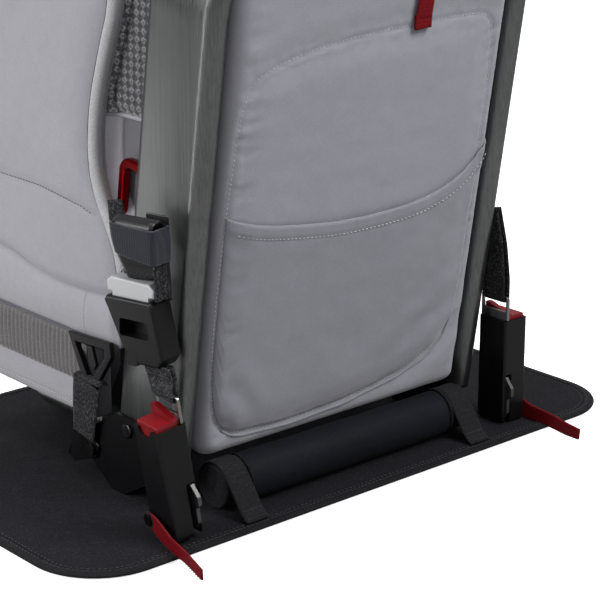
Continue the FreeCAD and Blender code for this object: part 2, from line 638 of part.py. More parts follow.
put("mat_base", mat_face(8.0).extrude(V(0, 0, MAT_T)))
put("mat_binding", mat_face(0).extrude(V(0, 0, MAT_T + 0.6)).cut(mat_face(8.0).extrude(V(0, 0, 6))))
ROLL_Y, ROLL_Z, ROLL_R = 22.0, 24.8, 20.0
roll = cyl((-150, ROLL_Y, ROLL_Z), (1, 0, 0), ROLL_R, 300)
put("mat_roll", roll)
sleeve = cyl((-121, ROLL_Y, ROLL_Z), (1, 0, 0), ROLL_R + 1.5, 242).cut(cyl((-125, ROLL_Y, ROLL_Z), (1, 0, 0), ROLL_R + 0.0, 250))
put("mat_roll_sleeve", sleeve)


def mat_strap():
    # band sewn to the mat, over the roll's end and down in front of it
    x0, x1 = 124.0, 149.0
    R = ROLL_R + 0.4
    o = cyl((x0, ROLL_Y, ROLL_Z), (1, 0, 0), R + 1.8, x1 - x0)
    d = math.radians(52)
    p = (ROLL_Y + (R + 1.8) * math.cos(d), ROLL_Z + (R + 1.8) * math.sin(d))
    q = (ROLL_Y + R * math.cos(d), ROLL_Z + R * math.sin(d))
    flap = prism_x([p, (68.0, 5.2), (68.0, 3.1), (64.0, 3.1), q, (ROLL_Y, ROLL_Z)], x0, x1)
    s = o.fuse(flap).cut(cyl((x0 - 1, ROLL_Y, ROLL_Z), (1, 0, 0), R, x1 - x0 + 2))
    s = s.cut(prism_x([(ROLL_Y + 3, 3.1), (64.0, 3.1), q, (ROLL_Y + R * 0.95, ROLL_Z)], x0 - 1, x1 + 1))
    s = s.cut(box(x0 - 1, x1 + 1, -40, 100, -5, MAT_T + 0.05))
    big = max(s.Solids, key=lambda k: k.Volume)
    return big


ms = mat_strap()
put("mat_straps", ms, mirror(ms))

# ------------------------------------------------------------------ export
MERGE_RIVETS = OUT.pop("connector_rivets_right")
OUT["connector_rivets_left"] = OUT.pop("connector_rivets")
OUT["connector_rivets_right"] = MERGE_RIVETS

lo_ = [1e9] * 3
hi_ = [-1e9] * 3
for name, shapes in OUT.items():
    moved = []
    for s in shapes:
        s = s.copy()
        s.translate(V(0, Y_SHIFT, 0))
        for k in s.Solids:
            moved.append(k)
    if len(moved) == 1:
        final = moved[0]
    else:
        final = Part.makeCompound(moved)
    bb = final.BoundBox
    for i, (a, b) in enumerate(((bb.XMin, bb.XMax), (bb.YMin, bb.YMax), (bb.ZMin, bb.ZMax))):
        lo_[i] = min(lo_[i], a)
        hi_[i] = max(hi_[i], b)
    ok = all(k.isValid() for k in moved)
    print("%-26s solids %d valid %s vol %.0f box %.1f..%.1f %.1f..%.1f %.1f..%.1f" % (
        name, len(moved), ok, sum(k.Volume for k in moved), bb.XMin, bb.XMax, bb.YMin, bb.YMax, bb.ZMin, bb.ZMax))
    final.exportStep("parts/" + name + ".step")
print(len(OUT), "nodes; box", [round(v, 2) for v in lo_], [round(v, 2) for v in hi_])
for n, p in (("LINK_L", LINK_L), ("LINK_R", LINK_R), ("STUD_L", STUD_L), ("STUD_R", STUD_R)):
    print(n, round(p.x, 2), round(p.y + Y_SHIFT, 2), round(p.z, 2))
for n, f in (("PAWL_L", at_left), ("PAWL_R", at_right)):
    p = f((0, CP["pv"][0], CP["pv"][1]))
    q = f((1, CP["pv"][0], CP["pv"][1]))
    print(n, round(p.x, 2), round(p.y + Y_SHIFT, 2), round(p.z, 2), "axis", [round(v, 4) for v in q.sub(p)])
p = at_left((0, 0, 0)); q = at_left((0, 0, -1))
print("BUTTON_L axis", [round(v, 4) for v in q.sub(p)])
p = at_left((0, 0, 0)); q = at_left((0, 1, 0))
print("LINK_L axis", [round(v, 4) for v in q.sub(p)])
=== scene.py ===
import math
import bpy
import bmesh
import numpy as np
from mathutils import Matrix, Vector

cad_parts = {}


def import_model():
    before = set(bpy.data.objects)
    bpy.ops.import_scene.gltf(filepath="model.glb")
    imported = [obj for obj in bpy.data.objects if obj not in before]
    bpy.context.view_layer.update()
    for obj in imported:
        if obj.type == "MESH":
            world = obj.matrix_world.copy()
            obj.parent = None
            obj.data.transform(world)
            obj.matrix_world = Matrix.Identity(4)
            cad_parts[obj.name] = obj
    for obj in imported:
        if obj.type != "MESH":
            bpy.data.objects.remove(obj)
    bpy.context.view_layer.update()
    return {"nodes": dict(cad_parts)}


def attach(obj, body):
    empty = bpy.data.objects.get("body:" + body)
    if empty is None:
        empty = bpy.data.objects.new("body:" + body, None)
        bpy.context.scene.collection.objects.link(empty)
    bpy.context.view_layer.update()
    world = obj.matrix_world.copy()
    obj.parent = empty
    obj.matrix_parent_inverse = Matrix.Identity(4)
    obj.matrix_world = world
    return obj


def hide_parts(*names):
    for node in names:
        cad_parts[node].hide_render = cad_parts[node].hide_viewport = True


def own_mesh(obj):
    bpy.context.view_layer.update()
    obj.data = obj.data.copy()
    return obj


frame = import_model()
NODES = frame["nodes"]

# Folding travel child seat.  Helpers take millimetres in the working frame of
# the part (+X the seat's left, +Y rear, origin at the legs' line) and return
# metres in the row frame.
YS = 112.0
TH = math.radians(8.6)
SN, CS = math.sin(TH), math.cos(TH)
LK = math.radians(15.0)


def F(x, y, z):
    return Vector((x / 1000.0, (y + YS) / 1000.0, z / 1000.0))


def LN(x, w, u):
    """leaned frame: w across the frame, u up along the legs"""
    return F(x, w * CS + u * SN, 39.0 - w * SN + u * CS)


def TL(n, w, z):
    """frame of the left strap: n outward, w along the webbing's width"""
    return F(221.5 + n * math.cos(LK) - w * math.sin(LK), 3.0 + n * math.sin(LK) + w * math.cos(LK), z)


def sm(a, b, x):
    t = np.clip((np.asarray(x, float) - a) / (b - a), 0.0, 1.0)
    return t * t * (3 - 2 * t)


# ---------------------------------------------------------------- materials
def srgb(r, g, b):
    def f(v):
        v = v / 255.0
        return v / 12.92 if v <= 0.04045 else ((v + 0.055) / 1.055) ** 2.4
    return (f(r), f(g), f(b), 1.0)


class M:
    """small wrapper round a node material"""

    def __init__(self, name):
        self.m = bpy.data.materials.new(name)
        self.m.use_nodes = True
        self.t = self.m.node_tree
        self.p = self.t.nodes["Principled BSDF"]
        self.tc = self.t.nodes.new("ShaderNodeTexCoord").outputs["Object"]

    def set(self, **k):
        names = {"rough": "Roughness", "metal": "Metallic", "sheen": "Sheen Weight", "sheen_rough": "Sheen Roughness",
                 "coat": "Coat Weight", "coat_rough": "Coat Roughness", "aniso": "Anisotropic", "spec": "Specular IOR Level",
                 "color": "Base Color", "sheen_tint": "Sheen Tint"}
        for a, v in k.items():
            self.p.inputs[names[a]].default_value = v
        return self

    def n(self, kind, **k):
        d = self.t.nodes.new(kind)
        for a, v in k.items():
            if a in d.inputs:
                d.inputs[a].default_value = v
            else:
                setattr(d, a, v)
        return d

    def link(self, a, b):
        self.t.links.new(a, b)

    def mapping(self, scale=(1, 1, 1), rot=(0, 0, 0), loc=(0, 0, 0)):
        d = self.t.nodes.new("ShaderNodeMapping")
        d.inputs["Scale"].default_value = scale
        d.inputs["Rotation"].default_value = rot
        d.inputs["Location"].default_value = loc
        self.link(self.tc, d.inputs["Vector"])
        return d.outputs["Vector"]

    def noise(self, scale, detail=3.0, rough=0.55, vec=None, dist=0.0):
        d = self.t.nodes.new("ShaderNodeTexNoise")
        d.inputs["Scale"].default_value = scale
        d.inputs["Detail"].default_value = detail
        d.inputs["Roughness"].default_value = rough
        d.inputs["Distortion"].default_value = dist
        self.link(vec if vec is not None else self.tc, d.inputs["Vector"])
        return d.outputs["Fac"]

    def wave(self, scale, vec=None, direction="X", dist=0.0, profile="SIN", detail=0.0):
        d = self.t.nodes.new("ShaderNodeTexWave")
        d.bands_direction = direction
        d.wave_profile = profile
        d.inputs["Scale"].default_value = scale
        d.inputs["Distortion"].default_value = dist
        d.inputs["Detail"].default_value = detail
        self.link(vec if vec is not None else self.tc, d.inputs["Vector"])
        return d.outputs["Fac"]

    def ramp(self, fac, stops, interp="LINEAR"):
        d = self.t.nodes.new("ShaderNodeValToRGB")
        d.color_ramp.interpolation = interp
        e = d.color_ramp.elements
        while len(e) < len(stops):
            e.new(0.5)
        for k, (pos, col) in enumerate(stops):
            e[k].position = pos
            e[k].color = col if len(col) == 4 else tuple(col) + (1.0,)
        self.link(fac, d.inputs["Fac"])
        return d.outputs["Color"]

    def math(self, op, a, b=None, clamp=False):
        d = self.t.nodes.new("ShaderNodeMath")
        d.operation = op
        d.use_clamp = clamp
        for i, v in enumerate((a, b)):
            if v is None:
                continue
            if isinstance(v, (int, float)):
                d.inputs[i].default_value = v
            else:
                self.link(v, d.inputs[i])
        return d.outputs[0]

    def mix(self, fac, a, b, mode="MIX"):
        d = self.t.nodes.new("ShaderNodeMix")
        d.data_type = "RGBA"
        d.blend_type = mode
        for i, v in ((0, fac), (6, a), (7, b)):
            if isinstance(v, (int, float)):
                d.inputs[i].default_value = v
            elif isinstance(v, tuple):
                d.inputs[i].default_value = v
            else:
                self.link(v, d.inputs[i])
        return d.outputs[2]

    def color(self, out):
        self.link(out, self.p.inputs["Base Color"])
        return self

    def rough(self, out, lo, hi):
        d = self.t.nodes.new("ShaderNodeMapRange")
        d.inputs["To Min"].default_value = lo
        d.inputs["To Max"].default_value = hi
        self.link(out, d.inputs["Value"])
        self.link(d.outputs["Result"], self.p.inputs["Roughness"])
        return self

    def bump(self, *pairs):
        """pairs of (height output, strength, distance)"""
        last = None
        for h, s, d in pairs:
            b = self.t.nodes.new("ShaderNodeBump")
            b.inputs["Strength"].default_value = s
            b.inputs["Distance"].default_value = d
            self.link(h, b.inputs["Height"])
            if last is not None:
                self.link(last, b.inputs["Normal"])
            last = b.outputs["Normal"]
        self.link(last, self.p.inputs["Normal"])
        return self


def knit(name, col, dark, light, sheen=0.25, puck=0.5, fine=950, rough=0.92):
    """fine jersey or polyester cloth: mottled, with a hairline grain"""
    a = M(name).set(rough=rough, sheen=sheen, sheen_rough=0.45, spec=0.18)
    big = a.noise(9.0, 2.0)
    mid = a.noise(120.0, 3.0, 0.6)
    grain = a.noise(fine, 2.0, 0.7)
    dark = tuple(0.35 * q + 0.65 * p for p, q in zip(col, dark))
    light = tuple(0.35 * q + 0.65 * p for p, q in zip(col, light))
    c1 = a.ramp(grain, [(0.30, dark), (0.52, col), (0.75, light)])
    c2 = a.ramp(mid, [(0.3, (0.975, 0.975, 0.975)), (0.7, (1.02, 1.02, 1.02))])
    c3 = a.ramp(big, [(0.3, (0.975, 0.975, 0.975)), (0.7, (1.02, 1.02, 1.02))])
    a.color(a.mix(1.0, a.mix(1.0, c1, c2, "MULTIPLY"), c3, "MULTIPLY"))
    a.bump((mid, 0.05 * puck, 0.0010), (grain, 0.22, 0.0003))
    return a.m


def plastic(name, col, rough=0.42, grain=0.12, wear=0.10, scale=900):
    a = M(name).set(rough=rough, spec=0.5 if max(col[:3]) > 0.05 else 0.28)
    f = a.noise(scale, 2.0, 0.6)
    g = a.noise(28.0, 4.0, 0.65)
    lighter = tuple(min(1.0, v * (1 + wear) + 0.01 * wear) for v in col[:3]) + (1.0,)
    a.color(a.ramp(g, [(0.35, col), (0.8, lighter)]))
    a.rough(g, max(0.05, rough - 0.07), rough + 0.10)
    a.bump((f, grain, 0.00025))
    return a.m


def metal(name, lo, hi, rough=0.3, along=(1, 1, 1), rot=(0, 0, 0), aniso=0.0, m=1.0):
    a = M(name).set(metal=m, rough=rough, aniso=aniso)
    v = a.mapping(scale=along, rot=rot)
    s = a.noise(1.0, 4.0, 0.7, vec=v)
    big = a.noise(11.0, 3.0, 0.6)
    c = a.ramp(s, [(0.28, lo), (0.72, hi)])
    a.color(a.mix(1.0, c, a.ramp(big, [(0.3, (0.93, 0.93, 0.93)), (0.7, (1.06, 1.06, 1.06))]), "MULTIPLY"))
    a.rough(s, rough - 0.05, rough + 0.12)
    a.bump((s, 0.10, 0.0003))
    return a.m


def webbing(name, base, fleck, rows=(0, 0, 1), pitch=1.6, rough=0.75, fleck_at=0.60, sheen=0.05):
    """heather webbing: pale flecks in a woven ground.  rows: direction of length"""
    a = M(name).set(rough=rough, sheen=sheen, sheen_rough=0.5, spec=0.16)
    d = "Z" if rows[2] else ("Y" if rows[1] else "X")
    k = 1000.0 / pitch * 0.05 * 2 * math.pi / (2 * math.pi) * 20 / 20
    st = {"X": (420, 760, 760), "Y": (760, 420, 760), "Z": (760, 760, 420)}[d]
    v = a.mapping(scale=st)
    f = a.noise(1.0, 3.0, 0.7, vec=v)
    w = a.wave(314.0 / pitch * 0.5, direction=d, dist=1.2)
    a.color(a.ramp(f, [(0.50, base), (0.60, tuple(0.65 * p + 0.35 * q for p, q in zip(base, fleck))), (0.72, fleck)]))
    a.bump((f, 0.5, 0.0006), (w, 0.35, 0.0005))
    return a.m


MAT = {}
# leg: brushed gunmetal, streaks along the leaned axis
MAT["alu"] = metal("brushed_frame", (0.125, 0.130, 0.128, 1), (0.205, 0.211, 0.206, 1), rough=0.26, along=(620, 620, 7), rot=(-TH, 0, 0), aniso=0.35, m=0.92)
MAT["alu2"] = metal("brushed_tube", (0.125, 0.130, 0.128, 1), (0.205, 0.211, 0.206, 1), rough=0.26, along=(620, 620, 7), rot=(-TH, 0, 0), aniso=0.35, m=0.92)


def crown_leg():
    """the oval tube's sides are very slightly crowned: a shallow height across the section"""
    m = MAT["alu"]
    t = m.node_tree
    p = t.nodes["Principled BSDF"]
    tc = t.nodes.new("ShaderNodeTexCoord")
    sp = t.nodes.new("ShaderNodeSeparateXYZ")
    t.links.new(tc.outputs["Object"], sp.inputs[0])

    def mth(op, a, b):
        d = t.nodes.new("ShaderNodeMath")
        d.operation = op
        for k, v in enumerate((a, b)):
            if isinstance(v, (int, float)):
                d.inputs[k].default_value = v
            else:
                t.links.new(v, d.inputs[k])
        return d.outputs[0]
    mid = mth("ADD", mth("MULTIPLY", sp.outputs[2], math.tan(TH)), 0.112 - 0.039 * math.tan(TH) - 0.032 / math.cos(TH))
    d = mth("SUBTRACT", sp.outputs[1], mid)
    e = mth("MINIMUM", mth("SUBTRACT", d, 0.031), 0.0)
    h = mth("MULTIPLY", mth("MULTIPLY", e, e), -2.0)
    b = t.nodes.new("ShaderNodeBump")
    b.inputs["Strength"].default_value = 1.0
    b.inputs["Distance"].default_value = 1.0
    t.links.new(h, b.inputs["Height"])
    old = p.inputs["Normal"].links[0].from_node
    if old.inputs["Normal"].links:
        old = old.inputs["Normal"].links[0].from_node
    t.links.new(b.outputs["Normal"], old.inputs["Normal"])


crown_leg()
MAT["cap"] = plastic("cap_black", srgb(24, 24, 26), 0.45)
MAT["black"] = plastic("moulded_black", srgb(12, 12, 14), 0.36, 0.16, 0.16)
MAT["gloss"] = plastic("gloss_black", srgb(10, 10, 12), 0.22, 0.05, 0.10)
MAT["satin"] = plastic("satin_black", srgb(10, 10, 12), 0.34, 0.06, 0.12)
MAT["shell"] = plastic("shell_grey", srgb(70, 71, 75), 0.5)
MAT["board"] = plastic("board_grey", srgb(60, 61, 64), 0.55)
MAT["greybtn"] = plastic("button_grey", srgb(178, 180, 182), 0.38, 0.10, 0.02)
MAT["redbtn"] = plastic("button_red", srgb(116, 3, 14), 0.34, 0.10, 0.10)
MAT["dkred"] = plastic("button_dark_red", srgb(96, 10, 14), 0.5, 0.10, 0.10)
MAT["zinc"] = metal("plated_steel", (0.20, 0.20, 0.20, 1), (0.36, 0.36, 0.355, 1), 0.27, (500, 500, 60))
MAT["dsteel"] = metal("dark_steel", (0.030, 0.030, 0.033, 1), (0.075, 0.075, 0.08, 1), 0.30, (300, 300, 60))
MAT["bracket"] = plastic("coated_steel", srgb(9, 9, 11), 0.30, 0.05, 0.12)
MAT["hooksteel"] = metal("hook_steel", (0.10, 0.10, 0.10, 1), (0.17, 0.17, 0.165, 1), 0.46, (400, 400, 60))
MAT["redano"] = metal("red_anodised", (0.25, 0.0015, 0.004, 1), (0.34, 0.003, 0.006, 1), 0.17, (400, 400, 60), m=1.0)
MAT["rear"] = knit("rear_cloth", srgb(152, 152, 161), srgb(134, 134, 143), srgb(170, 170, 179), 0.35, 0.9)
MAT["rear2"] = knit("pocket_cloth", srgb(140, 140, 149), srgb(123, 123, 132), srgb(158, 158, 166), 0.35, 1.0)
MAT["wing"] = knit("wing_cloth", srgb(152, 151, 158), srgb(134, 133, 140), srgb(168, 167, 174), 0.30, 0.5)
MAT["light"] = knit("light_cloth", srgb(154, 153, 159), srgb(134, 133, 139), srgb(172, 171, 177), 0.30, 0.5)
MAT["seat"] = knit("seat_cloth", srgb(120, 119, 127), srgb(98, 97, 105), srgb(140, 139, 147), 0.30, 0.7)
MAT["knitpipe"] = knit("pipe_knit", srgb(170, 170, 172), srgb(124, 124, 128), srgb(204, 204, 206), 0.30, 1.4, fine=620)
MAT["stitch"] = knit("thread_pale", srgb(196, 196, 200), srgb(170, 170, 176), srgb(214, 214, 218), 0.2, 0.2)
MAT["stitchdk"] = knit("thread_dark", srgb(88, 88, 96), srgb(72, 72, 80), srgb(104, 104, 112), 0.2, 0.2)
MAT["stitchblk"] = knit("thread_black", srgb(52, 52, 56), srgb(38, 38, 42), srgb(70, 70, 74), 0.2, 0.2)
MAT["rib"] = knit("rib_knit", srgb(108, 106, 106), srgb(74, 73, 74), srgb(134, 132, 131), 0.3, 1.0, fine=700)
MAT["inset"] = knit("inset_cloth", srgb(160, 159, 166), srgb(142, 141, 148), srgb(176, 175, 182), 0.25, 0.5)


def painted_side_shade(m, lo, hi, at_edge, at_flat):
    """painted shade and light: the panel's colour is made darker where it faces straight sideways, between the leg and
    the wing, and lighter where it turns away, in place of real shade there
    """
    t = m.node_tree
    p = t.nodes["Principled BSDF"]
    src = p.inputs["Base Color"].links[0].from_socket
    geo = t.nodes.new("ShaderNodeNewGeometry")
    sp = t.nodes.new("ShaderNodeSeparateXYZ")
    t.links.new(geo.outputs["True Normal"], sp.inputs[0])
    ab = t.nodes.new("ShaderNodeMath")
    ab.operation = "ABSOLUTE"
    t.links.new(sp.outputs[0], ab.inputs[0])
    mr = t.nodes.new("ShaderNodeMapRange")
    mr.inputs["From Min"].default_value = lo
    mr.inputs["From Max"].default_value = hi
    mr.inputs["To Min"].default_value = at_edge
    mr.inputs["To Max"].default_value = at_flat
    t.links.new(ab.outputs[0], mr.inputs["Value"])
    mx = t.nodes.new("ShaderNodeMix")
    mx.data_type = "RGBA"
    mx.blend_type = "MULTIPLY"
    mx.inputs[0].default_value = 1.0
    cmb = t.nodes.new("ShaderNodeCombineColor")
    for k in range(3):
        t.links.new(mr.outputs["Result"], cmb.inputs[k])
    t.links.new(src, mx.inputs[6])
    t.links.new(cmb.outputs[0], mx.inputs[7])
    t.links.new(mx.outputs[2], p.inputs["Base Color"])


# painted shade: the inset cloth's colour darkens where it faces sideways and lightens on its flare toward the piping
painted_side_shade(MAT["inset"], 0.70, 0.99, 1.5, 0.38)


def mesh_cloth():
    """spacer mesh: rows of knitted lozenges standing on a dark open ground"""
    a = M("spacer_mesh").set(rough=0.9, sheen=0.15, spec=0.15)
    f = a.noise(900, 3, 0.7)
    w = a.noise(150, 2, 0.6)
    sep = a.n("ShaderNodeSeparateXYZ")
    a.link(a.tc, sep.inputs[0])
    arc = a.math("SUBTRACT", sep.outputs[1], a.math("MULTIPLY", a.math("ABSOLUTE", sep.outputs[0], 0.0), 0.55))
    y = a.math("ADD", a.math("MULTIPLY", arc, math.pi / 0.0092), a.math("MULTIPLY", w, 0.5))
    z = a.math("MULTIPLY", sep.outputs[2], math.pi / 0.0074)
    p = a.math("COSINE", a.math("ADD", y, z))
    q = a.math("COSINE", a.math("SUBTRACT", y, z))
    b = a.math("ADD", a.math("MULTIPLY", a.math("MULTIPLY", p, q), 0.5), 0.5)
    c = a.ramp(b, [(0.30, (0.085, 0.085, 0.092, 1)), (0.50, (0.115, 0.115, 0.124, 1)), (0.60, (0.235, 0.235, 0.248, 1)), (0.78, (0.270, 0.270, 0.284, 1)), (0.93, (0.140, 0.140, 0.150, 1))])
    a.color(a.mix(1.0, c, a.ramp(f, [(0.34, (0.35, 0.35, 0.35)), (0.66, (1.75, 1.75, 1.75))]), "MULTIPLY"))
    a.bump((b, 0.5, 0.0012), (f, 0.5, 0.0005))
    return a.m


MAT["mesh"] = mesh_cloth()
# painted shade: the spacer mesh's colour darkens where it faces sideways and lightens on its flare toward the piping
painted_side_shade(MAT["mesh"], 0.45, 0.90, 2.0, 0.66)
MAT["web"] = webbing("heather_webbing", (0.008, 0.008, 0.009, 1), (0.12, 0.12, 0.13, 1), (0, 0, 1))
MAT["websat"] = webbing("satin_webbing", (0.009, 0.009, 0.010, 1), (0.030, 0.030, 0.034, 1), (0, 0, 1), rough=0.34)
MAT["websat"].node_tree.nodes["Principled BSDF"].inputs["Coat Weight"].default_value = 0.35
MAT["websat"].node_tree.nodes["Principled BSDF"].inputs["Coat Roughness"].default_value = 0.3
MAT["webx"] = webbing("heather_webbing_x", (0.010, 0.010, 0.011, 1), (0.13, 0.13, 0.14, 1), (1, 0, 0))
MAT["webblk"] = webbing("black_webbing", (0.006, 0.006, 0.007, 1), (0.028, 0.028, 0.032, 1), (0, 1, 0))
MAT["redweb"] = webbing("red_webbing", (0.125, 0.001, 0.004, 1), (0.22, 0.003, 0.008, 1), (0, 1, 0), rough=0.6, sheen=0.0)
MAT["redtab"] = webbing("red_tape", (0.16, 0.001, 0.005, 1), (0.27, 0.004, 0.010, 1), (0, 0, 1), rough=0.6, sheen=0.0)


def elastic():
    a = M("ribbed_elastic").set(rough=0.7, sheen=0.25, spec=0.25)
    w = a.wave(314.0 / 2.3, direction="Y", dist=0.4)
    f = a.noise(800, 3, 0.7)
    c = a.ramp(w, [(0.2, srgb(25, 27, 36)), (0.75, srgb(33, 36, 48))])
    a.color(a.mix(1.0, c, a.ramp(f, [(0.3, (0.8, 0.8, 0.8)), (0.7, (1.2, 1.2, 1.2))]), "MULTIPLY"))
    a.bump((w, 0.3, 0.0004), (f, 0.3, 0.0003))
    return a.m


MAT["elastic"] = elastic()


def mat_cloth(name, base, fleck, fleck2, rough=0.9, bump=0.5, at=0.62, scale=420):
    a = M(name).set(rough=rough, sheen=0.02, sheen_rough=0.5, spec=0.10)
    f = a.noise(scale, 3, 0.75)
    h = a.noise(scale * 2.3, 2, 0.7)
    big = a.noise(14, 3, 0.6)
    c = a.ramp(f, [(0.40, base), (at, fleck), (0.80, fleck2)])
    a.color(a.mix(1.0, c, a.ramp(big, [(0.3, (0.85, 0.85, 0.85)), (0.7, (1.15, 1.15, 1.15))]), "MULTIPLY"))
    a.bump((f, bump, 0.0007), (h, bump * 0.7, 0.0003))
    return a.m


MAT["matc"] = mat_cloth("protector_mat", (0.0062, 0.0058, 0.0078, 1), (0.0125, 0.0118, 0.0155, 1), (0.055, 0.053, 0.064, 1))
MAT["matb"] = mat_cloth("mat_binding_tape", (0.006, 0.006, 0.0072, 1), (0.013, 0.013, 0.0155, 1), (0.035, 0.035, 0.04, 1), rough=0.7, bump=0.7, scale=600)
MAT["roll"] = mat_cloth("roll_cloth", (0.0055, 0.0062, 0.0095, 1), (0.0085, 0.0095, 0.0145, 1), (0.016, 0.018, 0.027, 1), rough=0.62, bump=0.25, scale=500)
MAT["pad"] = knit("pad_cloth", srgb(58, 58, 64), srgb(44, 44, 50), srgb(74, 74, 80), 0.3, 0.6)


# ------------------------------------------------------------ mesh builders
def obj(name, verts, faces, mat, body, replaces=(), slot=None, smooth=True, ride=True):
    me = bpy.data.meshes.new(name)
    me.from_pydata([tuple(v) for v in verts], [], [tuple(f) for f in faces])
    me.validate()
    bm = bmesh.new()
    bm.from_mesh(me)
    bmesh.ops.remove_doubles(bm, verts=bm.verts, dist=1e-6)
    bmesh.ops.recalc_face_normals(bm, faces=bm.faces)
    bm.to_mesh(me)
    bm.free()
    o = bpy.data.objects.new(name, me)
    bpy.context.scene.collection.objects.link(o)
    me.materials.append(MAT[mat] if isinstance(mat, str) else mat)
    if smooth:
        for p in me.polygons:
            p.use_smooth = True
    if ride:
        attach(o, body)
    if replaces:
        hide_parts(*replaces)
    return o


def closed_grid(P, Q):
    """P, Q: (rows, cols, 3) arrays, front and back surface; returns verts, faces of the closed sheet"""
    r, c = P.shape[:2]
    verts = np.concatenate([P.reshape(-1, 3), Q.reshape(-1, 3)])
    o = r * c
    f = []
    for i in range(r - 1):
        a = i * c
        for j in range(c - 1):
            f.append((a + j, a + j + 1, a + c + j + 1, a + c + j))
            f.append((o + a + j, o + a + c + j, o + a + c + j + 1, o + a + j + 1))
    for j in range(c - 1):
        f.append((j, o + j, o + j + 1, j + 1))
        b = (r - 1) * c
        f.append((b + j, b + j + 1, o + b + j + 1, o + b + j))
    for i in range(r - 1):
        f.append((i * c, (i + 1) * c, o + (i + 1) * c, o + i * c))
        d = i * c + c - 1
        f.append((d, o + d, o + d + c, d + c))
    return verts, f


def seg_dist(X, Y, poly, closed=False):
    """distance of points to a polyline"""
    pts = list(poly) + ([poly[0]] if closed else [])
    D = np.full(X.shape, 1e9)
    for (ax, ay), (bx, by) in zip(pts[:-1], pts[1:]):
        dx, dy = bx - ax, by - ay
        L = dx * dx + dy * dy + 1e-12
        t = np.clip(((X - ax) * dx + (Y - ay) * dy) / L, 0, 1)
        D = np.minimum(D, np.hypot(X - ax - t * dx, Y - ay - t * dy))
    return D


def vnoise(X, Y, seed=0):
    """cheap smooth value noise on arrays, period-free, range about -1..1"""
    xi, yi = np.floor(X).astype(int), np.floor(Y).astype(int)
    xf, yf = X - xi, Y - yi

    def h(a, b):
        n = (a * 374761393 + b * 668265263 + seed * 1442695041) & 0x7FFFFFFF
        n = ((n ^ (n >> 13)) * 1274126177) & 0x7FFFFFFF
        return ((n ^ (n >> 16)) & 0xFFFF) / 32768.0 - 1.0
    u, v = xf * xf * (3 - 2 * xf), yf * yf * (3 - 2 * yf)
    return (h(xi, yi) * (1 - u) + h(xi + 1, yi) * u) * (1 - v) + (h(xi, yi + 1) * (1 - u) + h(xi + 1, yi + 1) * u) * v


def chaikin(p, n=2, closed=False):
    p = [tuple(map(float, q)) for q in p]
    for _ in range(n):
        q = []
        seq = p + [p[0]] if closed else p
        if not closed:
            q.append(p[0])
        for a, b in zip(seq[:-1], seq[1:]):
            q.append(tuple(0.75 * s + 0.25 * t for s, t in zip(a, b)))
            q.append(tuple(0.25 * s + 0.75 * t for s, t in zip(a, b)))
        if not closed:
            q.append(p[-1])
        p = q
    return p


def resample(pts, step):
    P = np.array([tuple(q) for q in pts], float)
    d = np.r_[0, np.cumsum(np.linalg.norm(np.diff(P, axis=0), axis=1))]
    n = max(2, int(round(d[-1] / step)) + 1)
    t = np.linspace(0, d[-1], n)
    return np.stack([np.interp(t, d, P[:, k]) for k in range(P.shape[1])], 1)


def frames(P, up):
    """tangent, side, normal along a path; up may be a vector or an array"""
    T = np.gradient(P, axis=0)
    T /= np.linalg.norm(T, axis=1)[:, None] + 1e-12
    U = np.broadcast_to(np.array(up, float), P.shape)
    S = np.cross(T, U)
    S /= np.linalg.norm(S, axis=1)[:, None] + 1e-12
    Nn = np.cross(S, T)
    return T, S, Nn


def ribbon(name, pts, width, thick, face, mat, body, step=0.0025, edge=0.0, crown=0.0, **kw):
    """flat webbing along pts (metres).  face: direction the flat face looks (vector or list per point).
    width, thick: metres, width may be a list per point."""
    P0 = np.array([tuple(p) for p in pts], float)
    extra = [P0]
    W0 = np.array(width if hasattr(width, "__len__") else [width] * len(P0), float)[:, None]
    Fc = np.array(face, float)
    F0 = np.broadcast_to(Fc, P0.shape) if Fc.ndim == 1 else Fc
    A = resample(np.hstack([P0, W0, F0]), step) if False else None
    d = np.r_[0, np.cumsum(np.linalg.norm(np.diff(P0, axis=0), axis=1))]
    n = max(3, int(round(d[-1] / step)) + 1)
    t = np.linspace(0, d[-1], n)
    P = np.stack([np.interp(t, d, P0[:, k]) for k in range(3)], 1)
    Wd = np.interp(t, d, W0[:, 0])
    Fn = np.stack([np.interp(t, d, F0[:, k]) for k in range(3)], 1)
    for _ in range(3):
        P[1:-1] = 0.25 * P[:-2] + 0.5 * P[1:-1] + 0.25 * P[2:]
    T, S, Nn = frames(P, Fn)
    cols = 13
    s = np.linspace(-1, 1, cols)
    half = 0.5 * thick
    prof = np.sqrt(np.clip(1 - np.abs(s) ** 8, 0.05, 1)) * half
    lip = edge * np.exp(-((np.abs(s) - 0.88) / 0.08) ** 2)
    top = P[:, None, :] + S[:, None, :] * (s[None, :, None] * 0.5 * Wd[:, None, None]) + Nn[:, None, :] * (prof + lip + crown * (1 - s ** 2))[None, :, None]
    bot = P[:, None, :] + S[:, None, :] * (s[None, :, None] * 0.5 * Wd[:, None, None]) - Nn[:, None, :] * (prof + lip - crown * (1 - s ** 2))[None, :, None]
    v, f = closed_grid(top, bot)
    return obj(name, v, f, mat, body, **kw)


